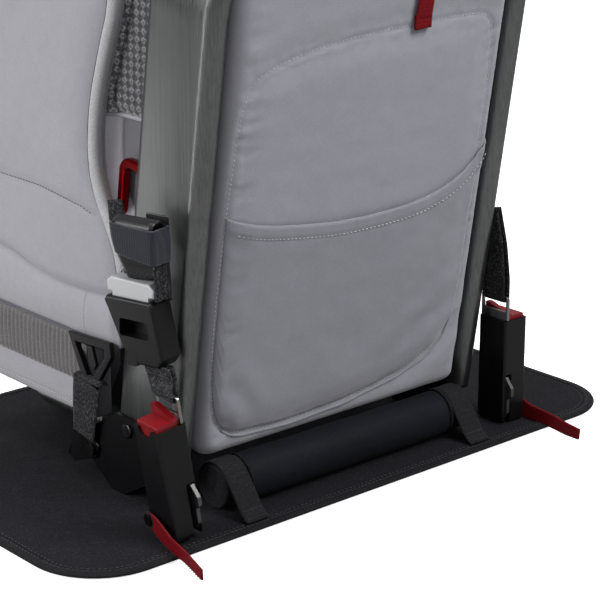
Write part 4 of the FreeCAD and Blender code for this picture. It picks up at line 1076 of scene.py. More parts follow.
def build_left_strap():
    n_out, n_in = -4.0, -21.5
    pts = [TL(-11.5, 9.5, 221.8), TL(n_out + 0.3, 5.0, 247)]
    for a in np.linspace(0, math.pi, 9):
        ca, sa = math.cos(a), math.sin(a)
        pts.append(TL(0.5 * (n_in + n_out) + 8.75 * math.copysign(abs(ca) ** 0.6, ca), 3.0, 263.5 + 8.0 * abs(sa) ** 0.6))
    pts += [TL(n_in, 6.0, 250), TL(n_in, 9.0, 225), TL(n_in, 10.0, 203)]
    face = []
    for i in range(len(pts)):
        if i < 2:
            face.append(NL)
        elif i < 11:
            a = math.pi * (i - 2) / 8.0
            face.append((math.cos(a) * NL[0], math.cos(a) * NL[1], math.sin(a)))
        else:
            face.append((-NL[0], -NL[1], 0))
    ribbon("upper_strap_webbing", pts[:7], [0.0330, 0.0385, 0.0410, 0.0420, 0.0420, 0.0420, 0.0420], 0.0024, face[:7], "websat", "back_frame", edge=0.0003, slot="black_webbing")
    ribbon("upper_strap_return", pts[6:], 0.0400, 0.0024, face[6:], "websat", "back_frame", edge=0.0003, crown=0.0, replaces=("upper_strap_left",), slot="black_webbing")
    # the sewn stack of layers beside the satin strand
    zs_ = np.linspace(206.0, 262.0, 40)
    ns_ = np.linspace(-21.0, -5.2, 12)
    Zs, Ns = np.meshgrid(zs_, ns_, indexing="ij")
    sh = 9.0 - 5.5 * (Zs - 206) / 56.0
    Ws = 19.6 + sh + 1.2 * vnoise(Ns / 2.0, Zs / 2.6, 91) - 1.0 * np.exp(-((Zs - 206) / 4.0) ** 2)
    ck, sk = math.cos(LK), math.sin(LK)
    P = np.stack([221.5 + Ns * ck - Ws * sk, 3.0 + Ns * sk + Ws * ck, Zs], -1)
    Q = np.stack([221.5 + Ns * ck - (Ws - 3.0) * sk, 3.0 + Ns * sk + (Ws - 3.0) * ck, Zs], -1)
    for A in (P, Q):
        A[..., 1] += YS
    v, f = closed_grid(P / 1000.0, Q / 1000.0)
    obj("strap_sewn_stack", v, f, "web", "back_frame", slot="black_webbing")
    # second flap behind the strap, with a row of black stitches along its edge
    fl = [TL(-25.6, 13.0, 244.0), TL(-26.4, 13.0, 262.0), TL(-25.6, 13.0, 272.5)]
    ribbon("strap_back_flap", fl, [0.024, 0.024, 0.023], 0.0020, (-NL[0], -NL[1], 0), "webblk", "back_frame")
    ribbon("strap_tail", [TL(-25.0, -27.0, 256.0), TL(-25.5, -29.0, 268.0), TL(-25.5, -31.0, 279.5)], [0.018, 0.018, 0.016], 0.0022, NL, "web", "back_frame")
    stitches("strap_flap_edge", [TL(-25.4, w, 273.3) for w in np.linspace(2, 24, 12)], (0, 0, 1), "stitchblk", "back_frame", 0.0016, 0.0006, 0.0005)
    # keeper: a ribbed elastic sleeve round both strands
    prof = []
    a0, a1, w0 = -25.9, 0.2, 22.2
    rr = 4.2
    for (cx, cy, s0) in ((a1 - rr, w0 - rr, 0), (a0 + rr, w0 - rr, 90), (a0 + rr, -w0 + rr, 180), (a1 - rr, -w0 + rr, 270)):
        for k in range(7):
            t = math.radians(s0 + 15 * k)
            prof.append((cx + rr * math.cos(t), cy + rr * math.sin(t)))
    dense = resample(prof + [prof[0]], 0.9)[:-1]
    m = len(dense)
    zs = np.linspace(240.6, 267.4, 38)
    outer, inner = [], []
    for z in zs:
        e = abs(z - 254.0) / 13.4
        tt = (267.4 - z) / 26.8
        ws = 4.0 + 3.6 * tt
        kf = 1.03 - 0.09 * tt
        bulge = 0.5 * (1 - e ** 4) + 0.35 * math.exp(-((e - 0.93) / 0.07) ** 2)
        for q_, (a, b) in enumerate(dense):
            L = math.hypot(a + 12.8, b)
            g = bulge + 0.35 * math.sin(b / 7.0 + z / 6.0) + 0.10 * math.sin(q_ * 2.1)
            zz_ = z - 2.2 * tt * (b / 22.0) - 1.0 * (b / 22.0)
            outer.append(TL(a + g * (a + 12.8) / L, ws + kf * (b + g * b / L), zz_))
            inner.append(TL(-12.8 + (a + 12.8) * 0.90, ws + kf * b * 0.945, zz_))
    verts = outer + inner
    o = len(outer)
    faces = []
    for i in range(len(zs) - 1):
        for j in range(m):
            k = (j + 1) % m
            faces.append((i * m + j, i * m + k, (i + 1) * m + k, (i + 1) * m + j))
            faces.append((o + i * m + j, o + (i + 1) * m + j, o + (i + 1) * m + k, o + i * m + k))
    for j in range(m):
        k = (j + 1) % m
        faces.append((j, o + j, o + k, k))
        b = (len(zs) - 1) * m
        faces.append((b + j, b + k, o + b + k, o + b + j))
    obj("strap_keeper_elastic", verts, faces, "elastic", "back_frame", replaces=("strap_keeper_left",), slot="navy_elastic")
    # zigzag of thread over the strap near the adjuster
    zz = []
    for i, w in enumerate(np.linspace(-7.5, 22.0, 13)):
        zz.append(TL(-2.4, w, 228.5 + (2.2 if i % 2 else -2.2)))
    stitches("strap_zigzag", zz, NL, "stitchblk", "back_frame", 0.0030, 0.0006, 0.0005)


build_left_strap()


def build_lower_strap():
    # from the adjuster, tapering down to the link and folded round its bar
    lx, ly, lz = 215.2, 44.57, 132.09
    top = TL(-7.5, 17.5, 149.6)
    T0 = math.radians(-2.1)
    nx, ny = math.cos(T0), math.sin(T0)
    v, f = [], []
    c = np.linspace(0, 1, 27)
    for lay, off in (("outer", 3.7), ("inner", -3.7)):
        sg_ = 1 if off > 0 else -1
        rows = []
        for t in np.linspace(0, 1, 22):
            nn = -9.0 + off * 1.1
            a = np.array(TL(nn, 12.0, 151.0)) * (1 - t) + np.array(F(lx + off * nx, ly - 14.0, lz)) * t
            b = np.array(TL(nn, 39.0 if off > 0 else 36.0, 151.0)) * (1 - t) + np.array(F(lx + off * nx, ly + 14.0, lz)) * t
            # the right edge hangs straight before it turns in to the bar
            b = b + (np.array(TL(nn, 43.0, 140.0)) - b) * 0.55 * math.exp(-((t - 0.45) / 0.30) ** 2) * (1 if off > 0 else 0.4)
            rows.append(a[None, :] + (b - a)[None, :] * c[:, None])
        G = np.array(rows)
        du = np.gradient(G, axis=0)
        dv = np.gradient(G, axis=1)
        nr = np.cross(du, dv)
        nr /= np.linalg.norm(nr, axis=-1)[..., None] + 1e-12
        if (nr.mean((0, 1)) @ np.array([nx, ny, 0])) * sg_ < 0:
            nr = -nr
        tv = np.linspace(0, 1, 22)[:, None]
        bump = 0.00035 * vnoise(c[None, :] * 22 + 0 * tv, tv * 16 + 0 * c[None, :], 93) + 0.0009 * (tv < 0.30) + 0.0005 * np.sin(c[None, :] * 3.0) * tv
        thick = 0.0010 * np.sqrt(np.clip(1 - np.abs(2 * c - 1) ** 8, 0.05, 1))[None, :]
        v, f = closed_grid(G + nr * (thick + bump)[..., None], G - nr * thick[..., None])
        obj("lower_strap_" + lay, v, f, "web", "back_frame", **({"replaces": ("lower_strap_left",), "slot": "black_webbing"} if lay == "outer" else {}))
        if lay == "outer":
            zz = [tuple(G[k, m_] + nr[k, m_] * 0.0024) for m_, k in ((m_, 7 if (m_ % 2) else 5) for m_ in range(1, 26))]
            stitches("lower_strap_zigzag", zz, tuple(nr.mean((0, 1))), "stitchblk", "back_frame", 0.0022, 0.0004, 0.00045)
    # the fold under the bar
    pts, face = [], []
    for a in np.linspace(0, math.pi, 11):
        pts.append(F(lx + 3.7 * math.cos(a) * nx, ly + 3.7 * math.cos(a) * ny, lz - 3.7 * math.sin(a)))
        face.append((math.cos(a) * nx, math.cos(a) * ny, -math.sin(a)))
    ribbon("lower_strap_fold", pts, 0.0280, 0.0022, face, "web", "back_frame", step=0.001, slot="black_webbing")
    row = [TL(-2.6, w, 146.0) for w in np.linspace(6, 34, 10)]
    # right-hand strap: two strands from the frame down round the link
    rx, ry, rz = -189.0, 32.5, 129.4
    for lay, off in (("outer", -3.7), ("inner", 3.7)):
        P = [F(rx + off, ry, rz), F(rx + off, ry, rz + 18), F(rx + off * 0.8, ry - 4.0, rz + 50), F(rx + off * 0.6, ry - 12.0, 213.5)]
        ribbon("right_strap_" + lay, P, [0.0280, 0.0280, 0.0280, 0.0270], 0.0020, (1 if off > 0 else -1, 0, 0), "web", "back_frame", edge=0.0002,
               **({"replaces": ("upper_strap_right",), "slot": "black_webbing"} if lay == "outer" else {}))
    pts, face = [], []
    for a in np.linspace(0, math.pi, 11):
        pts.append(F(rx - 3.7 * math.cos(a), ry, rz - 3.7 * math.sin(a)))
        face.append((-math.cos(a), 0, -math.sin(a)))
    ribbon("right_strap_fold", pts, 0.0280, 0.0020, face, "web", "back_frame", step=0.001, slot="black_webbing")
    st = [F(rx - 4.9, ry + w, 158.0 + (2.0 if i % 2 else -2.0)) for i, w in enumerate(np.linspace(-8.5, 8.5, 9))]
    stitches("right_strap_zigzag", st, (-1, 0, 0), "stitchblk", "back_frame", 0.0026, 0.0005, 0.0004)


build_lower_strap()


def conn_local(side):
    if side == "left":
        R_ = Matrix.Rotation(math.radians(-2.1), 4, "Z") @ Matrix.Rotation(math.radians(9.3), 4, "Y")
        t = Vector((222.5, 44.3, 108.6))
        s = 1
    else:
        R_ = Matrix.Identity(4)
        t = Vector((-200.0, 32.5, 107.4))
        s = -1

    def g(x, y, z):
        p = R_ @ Vector((s * x, y, z)) + t
        return F(p.x, p.y, p.z)
    return g, R_, s


def build_pulls():
    for side in ("left", "right"):
        g, R_, s = conn_local(side)
        skew = 0.16 if side == "left" else 0.03
        end = 78.0 if side == "left" else 86.5
        tilt = math.radians(9.3 if side == "left" else 0.0)
        topz = 108.6 if side == "left" else 107.4

        def zl(yl, zw):
            xl = 16.7 + skew * (yl + 13.0)
            return (zw - topz + xl * math.sin(tilt)) / math.cos(tilt)
        line = [(-17.0, -88.0, 8.0), (-13.0, -88.2, 10.5), (-4, None, 12.5, 17.5), (8, None, 13.0, 13.5), (22, None, 10.6, 10.4), (48, None, 9.6, 8.9), (66, None, 8.8, 6.2), (end - 2, None, 8.0, 4.4)]
        pts, wid = [], []
        for q in line:
            y = q[0]
            if q[1] is None:
                z = zl(y, q[3])
                w = q[2]
            else:
                z, w = q[1], q[2]
            x = 16.9 + skew * (y + 13.0)
            pts.append(g(x, y, z))
            wid.append(w / 1000.0 * 1.5)
        nrm = (R_.to_3x3() @ Vector((s, 0, 0.0)))
        o = ribbon("connector_pull_tape_" + side, pts, wid, 0.0017, tuple(nrm), "redweb", "pull_" + side, step=0.002, edge=0.0003,
                   replaces=("connector_pull_" + side,), slot="red_web")
        pp = np.array([tuple(p) for p in pts])
        upv = np.array([0, 0, 1.0])
        for k in (-1, 1):
            row = [tuple(p + upv * k * 0.36 * w + np.array(nrm) * 0.0009) for p, w in zip(pp[2:], wid[2:])]
            stitches("pull_stitch_%s_%d" % (side, k + 1), row, tuple(nrm), "dkred", "pull_" + side, 0.0022, 0.0012, 0.0003)
        # black cord loop between the stud and the tape
        a = [g(17.6, -19.0, -84.5), g(18.2, -17.0, -81.5), g(18.3, -12.0, -80.6), g(18.2, -8.0, -83.0), g(18.0, -6.5, -88.0), g(18.0, -8.0, -92.5), g(18.0, -13.0, -95.0), g(17.8, -18.0, -93.0), g(17.6, -20.0, -88.5), g(17.6, -19.0, -84.5)]
        tube("pull_cord_" + side, a, 0.0010, "webblk", "pull_" + side, seg=8, step=0.0015)


build_pulls()


# -------------------------------------------------- lap straps and foot details
def build_lap():
    for sign, nm in ((1, "left"), (-1, "right")):
        kw = {"replaces": ("lap_straps",), "slot": "black_webbing"} if sign == 1 else {"slot": "black_webbing"}
        pts = [F(sign * 195.2, -97.0, 99.0), F(sign * 194.8, -100.0, 84.0), F(sign * 194.0, -104.0, 66.0), F(sign * 193.0, -107.5, 45.5)]
        ribbon("lap_strap_" + nm, pts, [0.0400, 0.0385, 0.0350, 0.0315], 0.0022, (sign, 0, 0), "web", "back_frame", edge=0.0003, **kw)
        # loop over the guide's lower bar
        pts, face = [], []
        for a in np.linspace(0, math.pi, 9):
            pts.append(F(sign * (191.2 + 4.0 * math.cos(a)), -96.5, 99.0 + 4.5 * math.sin(a)))
            face.append((sign * math.cos(a), 0, math.sin(a)))
        ribbon("lap_strap_fold_" + nm, pts, 0.0400, 0.0022, face, "web", "back_frame", step=0.001)
        zz = [F(sign * 196.1, -112 + 4.2 * i, 88.0 + (2.2 if i % 2 else -2.2)) for i in range(9)]
        stitches("lap_stitch_" + nm, zz, (sign, 0, 0), "stitchblk", "back_frame", 0.0028, 0.0006, 0.0004)


build_lap()


# ------------------------------------------------------ seat sides and band
def build_skirts():
    vs_, fs_, vk, fkk, vb, fb, vr, fr_ = [], [], [], [], [], [], [], []
    for sign in (1, -1):
        # pale band and hem, one padded side panel
        y = np.concatenate([-289.5 + 6 * (1 - np.cos(np.linspace(0, math.pi / 2, 6)))[:-1], np.arange(-283, -112, 3.0), -106.5 - 6 * (np.cos(np.linspace(0, math.pi / 2, 6)))])
        y = np.unique(np.round(y, 3))
        z = np.concatenate([58.5 + 6 * (1 - np.cos(np.linspace(0, math.pi / 2, 5)))[:-1], np.arange(65, 131, 2.4), 137.6 - 7 * np.cos(np.linspace(0, math.pi / 2, 5))])
        z = np.unique(np.round(z, 3))
        Y, Z = np.meshgrid(y, z)
        d = np.minimum(np.minimum(Y + 290.5, -106 - Y), np.minimum(Z - 58, 138 - Z))
        e = np.sqrt(np.clip(1 - (1 - np.clip(d / 9.0, 0, 1)) ** 2, 0, 1))
        X = 176.0 + 8.8 * e + 0.5 * vnoise(Y / 30, Z / 18, 41)
        X = np.minimum(X, 185.4)
        # the hem's turned edge
        X = X - 0.9 * np.exp(-((Z - 67.5) / 1.2) ** 2) - 1.0 * np.exp(-((Z - 90.5) / 1.6) ** 2)
        P = np.stack([sign * X / 1000, (Y + YS) / 1000, Z / 1000], -1)
        Q = P.copy()
        Q[..., 0] = sign * 0.1622
        v, f = closed_grid(P, Q)
        n0 = len(vs_)
        fs_ += [tuple(i + n0 for i in q) for q in f]
        vs_ += [tuple(p) for p in v]
        # inner flange that ties the panel to the cushion
        yy = np.linspace(-284, -146, 40)
        zz_ = np.linspace(62, 100, 14)
        Y, Z = np.meshgrid(yy, zz_)
        P = np.stack([np.full(Y.shape, sign * 0.1622), (Y + YS) / 1000, Z / 1000], -1)
        Q = np.stack([np.full(Y.shape, sign * 0.1493), (Y + YS) / 1000, Z / 1000], -1)
        v, f = closed_grid(P, Q)
        n0 = len(vs_)
        fs_ += [tuple(i + n0 for i in q) for q in f]
        vs_ += [tuple(p) for p in v]
        # rib knit: real ribs along z
        y = np.arange(-283, -107.9, 0.9)
        z = np.arange(92.0, 136.01, 2.2)
        Y, Z = np.meshgrid(y, z)
        ph = (Y + 0.7 * np.sin(Z / 8.0) + 0.5 * vnoise(Y / 9.0, Z / 14.0, 44)) / 6.6 * 2 * math.pi
        rib = (0.5 + 0.5 * np.cos(ph)) ** 0.6
        ez = np.minimum(Z - 92, 136 - Z)
        X = 185.5 + 0.5 + 2.3 * rib * sm(-1, 5, ez) + 0.15 * vnoise(Y / 1.6, Z / 1.2, 43)
        P = np.stack([sign * X / 1000, (Y + YS) / 1000, Z / 1000], -1)
        Q = P.copy()
        Q[..., 0] = sign * 0.1855
        v, f = closed_grid(P, Q)
        n0 = len(vk)
        fkk += [tuple(i + n0 for i in q) for q in f]
        vk += [tuple(p) for p in v]
        # plump band over the ribs, below the wing
        for part in ("front", "rear"):
            y = np.linspace(-288, -107.4, 64) if part == "front" else np.linspace(-108.4, -62, 22)
            t = np.linspace(0, 1, 18)
            Yb = np.repeat(y[:, None], len(t), 1)
            lo = 134.5 + 2.0 * sm(-110, -60, y)
            hi = band_hi(y)
            Zb = lo[:, None] + (hi - lo)[:, None] * t[None, :]
            bul = np.sin(np.clip(t, 0, 1) * math.pi) ** 0.55
            ye = np.minimum(Yb + 288, -62 - Yb)
            Xb = 182.6 + 5.4 * bul[None, :] * sm(-2, 10, ye) + 0.25 * vnoise(Yb / 30, Zb / 14, 45)
            P = np.stack([sign * Xb / 1000, (Yb + YS) / 1000, Zb / 1000], -1)
            Q = P.copy()
            Q[..., 0] = sign * 0.1782
            v, f = closed_grid(P, Q)
            tv_, tf_ = (vb, fb) if part == "front" else (vr, fr_)
            n0 = len(tv_)
            tf_ += [tuple(i + n0 for i in q) for q in f]
            tv_ += [tuple(p) for p in v]
    o = obj("seat_side_panels", vs_, fs_, "light", "seat", replaces=("seat_skirts",), slot="light_fabric")
    k = obj("rib_knit_bands", vk, fkk, "rib", "seat", replaces=("knit_bands",), slot="knit_rib")
    b = obj("seat_side_bands", vb, fb, "light", "seat", slot="light_fabric")
    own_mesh(b)
    stub = obj("wing_band_stubs", vr, fr_, "light", "back_frame", slot="light_fabric")
    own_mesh(stub)
    for sign, nm in ((1, "left"), (-1, "right")):
        stitches("hem_stitch_" + nm, [F(sign * 184.2, a, 67.6) for a in np.arange(-284, -110, 3.0)], (sign, 0, 0), "stitch", "seat", 0.0026, 0.0018, 0.0004)
        stitches("band_stitch_" + nm, [F(sign * 184.6, a, 91.0) for a in np.arange(-284, -110, 3.0)], (sign, 0, 0), "stitch", "seat", 0.0020, 0.0020, 0.0004)
        tube("band_welt_" + nm, [F(sign * 186.6, a, 137.0) for a in np.arange(-286, -108, 5.0)], 0.0015, "stitchdk", "seat", seg=6)


build_skirts()


# ------------------------------------------------------------------ the mat
def mat_half(y, inset):
    """half width of the mat's outline at y"""
    x, y0, y1, r = 328.0 - inset, -344.0 + inset, 78.0 - inset, 66.0 - inset
    y = np.asarray(y, float)
    h = np.full(y.shape, float(x))
    k = y < y0 + r
    h[k] = x - r + np.sqrt(np.clip(r * r - (y0 + r - y[k]) ** 2, 0, None))
    k = y > y1 - r
    h[k] = x - r + np.sqrt(np.clip(r * r - (y[k] - y1 + r) ** 2, 0, None))
    return h


def mat_ring(inset, step=4.0):
    out = []
    x, y0, y1, r = 328.0 - inset, -344.0 + inset, 78.0 - inset, 66.0 - inset
    for cx, cy, s0 in ((x - r, y1 - r, 0), (-x + r, y1 - r, 90), (-x + r, y0 + r, 180), (x - r, y0 + r, 270)):
        for k in range(13):
            a = math.radians(s0 + 7.5 * k)
            out.append((cx + r * math.cos(a), cy + r * math.sin(a)))
    out.append(out[0])
    return resample(out, step)[:-1]


def build_mat():
    y = np.concatenate([-336 + 58 * (1 - np.cos(np.linspace(0, math.pi / 2, 22)))[:-1], np.arange(-278, 12, 5.0), 70 - 58 * (1 - np.sin(np.linspace(0, math.pi / 2, 22)))])
    y = np.unique(np.round(y, 3))
    y = y[(y > -335.98) & (y < 69.98)]
    hw = mat_half(y, 8.0)
    c = np.linspace(-1, 1, 131)
    X = c[None, :] * hw[:, None]
    Y = np.repeat(y[:, None], len(c), 1)
    ring = mat_ring(8.0)
    d = seg_dist(X, Y, [tuple(p) for p in ring], closed=True)
    quilt = 0.0
    Z = 2.85 + 0.25 * vnoise(X / 40.0, Y / 40.0, 51) * sm(8, 40, d) + 0.12 * vnoise(X / 5.0, Y / 5.0, 52)
    Z = np.minimum(Z, 3.05)
    P = np.stack([X / 1000, (Y + YS) / 1000, Z / 1000], -1)
    Q = np.stack([X / 1000, (Y + YS) / 1000, np.full(X.shape, 0.0)], -1)
    v, f = closed_grid(P, Q)
    o = obj("mat_panel", v, f, "matc", "back_frame", replaces=("mat_base",), slot="mat_fabric")
    # bound edge: folded tape, rounded outside
    ring = mat_ring(0.0, 3.0)
    nn = len(ring)
    cen = mat_ring(8.0, 3.0)
    T = np.roll(ring, -1, 0) - np.roll(ring, 1, 0)
    T /= np.linalg.norm(T, axis=1)[:, None]
    Nn = np.stack([T[:, 1], -T[:, 0]], 1)
    prof = [(0.0, 1.9), (0.5, 0.75), (2.2, 0.15), (8.8, 0.10), (9.3, 1.0), (9.3, 2.7), (9.0, 3.35), (8.0, 3.62), (5.0, 3.75), (2.2, 3.65), (0.6, 3.0)]
    verts, faces = [], []
    m = len(prof)
    for i in range(nn):
        wob = 0.25 * math.sin(i * 0.7) * 0.0
        for a, b in prof:
            q = ring[i] - Nn[i] * a
            verts.append(F(q[0], q[1], b + (0.12 * math.sin(i * 1.3) if b > 3 else 0.0)))
    for i in range(nn):
        k = (i + 1) % nn
        for j in range(m):
            l = (j + 1) % m
            faces.append((i * m + j, i * m + l, k * m + l, k * m + j))
    b = obj("mat_binding_edge", verts, faces, "matb", "back_frame", replaces=("mat_binding",), slot="mat_binding")
    r2 = mat_ring(7.2, 4.0)
    st = stitches("mat_binding_stitch", [F(p[0], p[1], 3.75) for p in list(r2) + [r2[0]]], (0, 0, 1), "stitchblk", "back_frame", 0.0026, 0.0018, 0.00042)
    r3 = mat_ring(12.5, 4.0)
    st2 = stitches("mat_edge_stitch", [F(p[0], p[1], 3.0) for p in list(r3) + [r3[0]]], (0, 0, 1), "stitchblk", "back_frame", 0.0026, 0.0022, 0.0004)
    return o, b, st, st2


matp, matb, mst, mst2 = build_mat()


def build_roll():
    # rolled back panel: ends spiral, seam lines where the layers end
    y0, z0, R = 22.0, 24.8, 20.0
    xs = np.linspace(-150, 150, 101)
    a = np.linspace(0, 2 * math.pi, 72, endpoint=False)
    rows = []
    for x in xs:
        e = 150 - abs(x)
        r = R * (1 - 0.0) - 1.2 * math.exp(-(e / 2.2) ** 2)
        dent = 0.0
        r = r + 0.45 * math.sin(x / 9.0) * math.exp(-((abs(x) - 132) / 12.0) ** 2)
        ring = []
        for t in a:
            k = r
            k += 0.5 * math.exp(-(((t - 2.15) / 0.10) ** 2)) - 0.7 * math.exp(-(((t - 2.28) / 0.05) ** 2))
            ring.append((x, y0 + k * math.cos(t), z0 + k * math.sin(t)))
        rows.append(ring)
    rows = np.array(rows)
    r, c = rows.shape[:2]
    verts = [F(*p) for p in rows.reshape(-1, 3)]
    faces = []
    for i in range(r - 1):
        for j in range(c):
            k = (j + 1) % c
            faces.append((i * c + j, (i + 1) * c + j, (i + 1) * c + k, i * c + k))
    # end faces: stepped spiral of layers
    for side, row, sg in ((0, 0, -1), (1, r - 1, 1)):
        prev = [row * c + j for j in range(c)]
        steps = 12
        for s in range(1, steps + 1):
            f = 1 - s / (steps + 0.6)
            cur = []
            for j, t in enumerate(a):
                ph = (s + t / (2 * math.pi)) * math.pi
                rr_ = (R - 1.2) * f
                dx = -1.1 * (0.5 + 0.5 * math.cos(2 * ph))
                verts.append(F(sg * 150.0 + sg * dx, y0 + rr_ * math.cos(t), z0 + rr_ * math.sin(t)))
                cur.append(len(verts) - 1)
            for j in range(c):
                k = (j + 1) % c
                faces.append((prev[j], prev[k], cur[k], cur[j]) if sg < 0 else (prev[j], cur[j], cur[k], prev[k]))
            prev = cur
        faces.append(tuple(prev) if sg > 0 else tuple(prev[::-1]))
    o = obj("mat_roll_cloth", verts, faces, "matb", "back_frame", replaces=("mat_roll",), slot="mat_fabric")
    # sleeve: smooth navy cloth wrapped round the roll, slightly slack
    xs = np.linspace(-121, 121, 86)
    outer, inner = [], []
    for x in xs:
        e = 121 - abs(x)
        for t in a:
            k = 21.3 + 0.25 * vnoise(np.array(x / 26.0), np.array(t * 2.2), 61) - 0.5 * math.exp(-(e / 1.5) ** 2)
            k += 0.28 * math.sin(3 * t + x / 40.0) * 0.5
            outer.append(F(x, y0 + k * math.cos(t), max(3.3, z0 + k * math.sin(t))))
            inner.append(F(x, y0 + 20.15 * math.cos(t), max(4.7, z0 + 20.15 * math.sin(t))))
    c = len(a)
    n = len(xs)
    verts = outer + inner
    off = len(outer)
    faces = []
    for i in range(n - 1):
        for j in range(c):
            k = (j + 1) % c
            faces.append((i * c + j, (i + 1) * c + j, (i + 1) * c + k, i * c + k))
            faces.append((off + i * c + j, off + i * c + k, off + (i + 1) * c + k, off + (i + 1) * c + j))
    for j in range(c):
        k = (j + 1) % c
        faces.append((j, k, off + k, off + j))
        b = (n - 1) * c
        faces.append((b + j, off + b + j, off + b + k, b + k))
    s = obj("mat_roll_sleeve_cloth", verts, faces, "roll", "back_frame", replaces=("mat_roll_sleeve",), slot="mat_roll_fabric")
    # braided seams at the sleeve's ends
    for sg, nm in ((1, "left"), (-1, "right")):
        pts = []
        for t in np.linspace(-0.6, 2.6, 60):
            tt = t
            wob = 0.9 * math.sin(t * 26)
            pts.append(F(sg * (121.8 + wob), y0 + 21.9 * math.cos(tt), z0 + 21.9 * math.sin(tt)))
        tube("roll_seam_" + nm, pts, 0.0013, "matb", "back_frame", seg=7, step=0.0012)
        pts = [F(sg * (121.8 - 0.9 * math.sin(t * 26)), y0 + 22.0 * math.cos(t), z0 + 22.0 * math.sin(t)) for t in np.linspace(-0.6, 2.6, 60)]
        tube("roll_seam2_" + nm, pts, 0.0013, "matb", "back_frame", seg=7, step=0.0012)
    return o, s


build_roll()


def build_mat_straps():
    y0, z0 = 22.0, 24.8
    for sg, nm in ((1, "left"), (-1, "right")):
        R = 21.7
        pts, face = [], []
        for t in np.linspace(-0.35 * math.pi, -2.0 * math.pi + math.radians(60), 44)[::-1]:
            pass
        ang = list(np.linspace(math.radians(215), math.radians(58), 34))
        for t in ang:
            pts.append(F(sg * 136.5, y0 + R * math.cos(t), z0 + R * math.sin(t)))
            face.append((0, math.cos(t), math.sin(t)))
        p = (y0 + R * math.cos(math.radians(58)), z0 + R * math.sin(math.radians(58)))
        for k, (yy, zz) in enumerate(((42.0, 33.0), (50.0, 22.0), (57.0, 12.0), (63.0, 6.2), (67.5, 4.6))):
            pts.append(F(sg * 136.5, yy, zz))
            face.append((0, 0.72, 0.69) if k < 3 else (0, 0.2, 0.98))
        kw = {"replaces": ("mat_straps",), "slot": "black_webbing"} if sg == 1 else {"slot": "black_webbing"}
        ribbon("mat_strap_" + nm, pts, 0.0245, 0.0020, face, "webblk", "back_frame", edge=0.0003, **kw)
        # box stitch at the strap's foot
        cx = sg * 136.5
        for q, (ya, za, yb, zb) in enumerate(((58.5, 10.8, 58.5, 10.8), (66.0, 5.9, 66.0, 5.9))):
            row = [F(cx + w, ya, za + 0.9) for w in np.linspace(-10.5, 10.5, 11)]
            stitches("mat_strap_stitch_%s_%d" % (nm, q), row, (0, 0.5, 0.85), "stitchblk", "back_frame", 0.0018, 0.0008, 0.0004)
        # points for a keeper loop lying over the band, thick tape; nothing is built from them
        lo = [F(cx + sg * 13.0, 10, 47.6), F(cx + sg * 13.2, 24, 48.0), F(cx + sg * 13.4, 37, 43.0), F(cx + sg * 13.6, 46, 32.0), F(cx + sg * 13.6, 54, 20.0), F(cx + sg * 13.4, 61, 10.0)]


build_mat_straps()


# ---------------------------------------------------- cushions by cloth swell
def swell(o, cap, voxel=0.006, pressure=4.0, frames_=20):
    """inflate a closed mesh a little with a cloth solve, capped, then smooth"""
    me = o.data
    bpy.context.view_layer.objects.active = o
    for q in bpy.context.selected_objects:
        q.select_set(False)
    o.select_set(True)
    r = o.modifiers.new("remesh", "REMESH")
    r.mode = "VOXEL"
    r.voxel_size = voxel
    bpy.ops.object.modifier_apply(modifier="remesh")
    n = len(o.data.vertices)
    base = np.zeros(n * 3)
    o.data.vertices.foreach_get("co", base)
    base = base.reshape(-1, 3)
    c = o.modifiers.new("cloth", "CLOTH")
    c.settings.quality = 5
    c.settings.mass = 0.3
    c.settings.tension_stiffness = 15
    c.settings.compression_stiffness = 15
    c.settings.bending_stiffness = 0.6
    c.settings.use_pressure = True
    c.settings.uniform_pressure_force = pressure
    c.settings.effector_weights.gravity = 0.0
    c.point_cache.frame_start = 1
    c.point_cache.frame_end = frames_
    sc = bpy.context.scene
    for fr in range(1, frames_ + 1):
        sc.frame_set(fr)
    dg = bpy.context.evaluated_depsgraph_get()
    ev = o.evaluated_get(dg)
    co = np.zeros(n * 3)
    ev.data.vertices.foreach_get("co", co)
    co = co.reshape(-1, 3)
    o.modifiers.remove(c)
    sc.frame_set(1)
    d = co - base
    L = np.linalg.norm(d, axis=1)
    k = np.where(L > cap, cap / np.maximum(L, 1e-9), 1.0)
    o.data.vertices.foreach_set("co", (base + d * k[:, None]).ravel())
    o.data.update()
    for m in ((0.6, 6),):
        s = o.modifiers.new("smooth", "SMOOTH")
        s.factor = m[0]
        s.iterations = m[1]
        bpy.ops.object.modifier_apply(modifier="smooth")
    s = o.modifiers.new("sub", "SUBSURF")
    s.levels = s.render_levels = 1
    bpy.ops.object.modifier_apply(modifier="sub")
    for p in o.data.polygons:
        p.use_smooth = True
    return o


def pad_box(name, x0, x1, y0, y1, z0, z1, mat, body, place, chan=(), r=10.0, crown=6.0, step=8.0, **kw):
    """the x, y sample grid over a cushion's footprint, x0..x1 by y0..y1 about step apart; place(x, y, z) is not used.
    z0 (flat base) and z1 (top), along the thick direction, are not used."""
    X1 = np.linspace(x0, x1, max(8, int((x1 - x0) / step)))
    Y1 = np.linspace(y0, y1, max(8, int((y1 - y0) / step)))
    X, Y = np.meshgrid(X1, Y1)
    return X, Y


def cushion(name, outline_fn, x_n, y0, y1, y_n, top_fn, bot_fn, mat, body, place, cap, **kw):
    ys = np.linspace(y0, y1, y_n)
    hw = outline_fn(ys)
    c = np.linspace(-1, 1, x_n)
    X = c[None, :] * hw[:, None]
    Y = np.repeat(ys[:, None], x_n, 1)
    T = top_fn(X, Y)
    B = bot_fn(X, Y)
    P = np.array([[tuple(place(X[i, j], Y[i, j], T[i, j])) for j in range(x_n)] for i in range(y_n)])
    Q = np.array([[tuple(place(X[i, j], Y[i, j], B[i, j])) for j in range(x_n)] for i in range(y_n)])
    v, f = closed_grid(P, Q)
    return obj(name, v, f, mat, body, **kw)


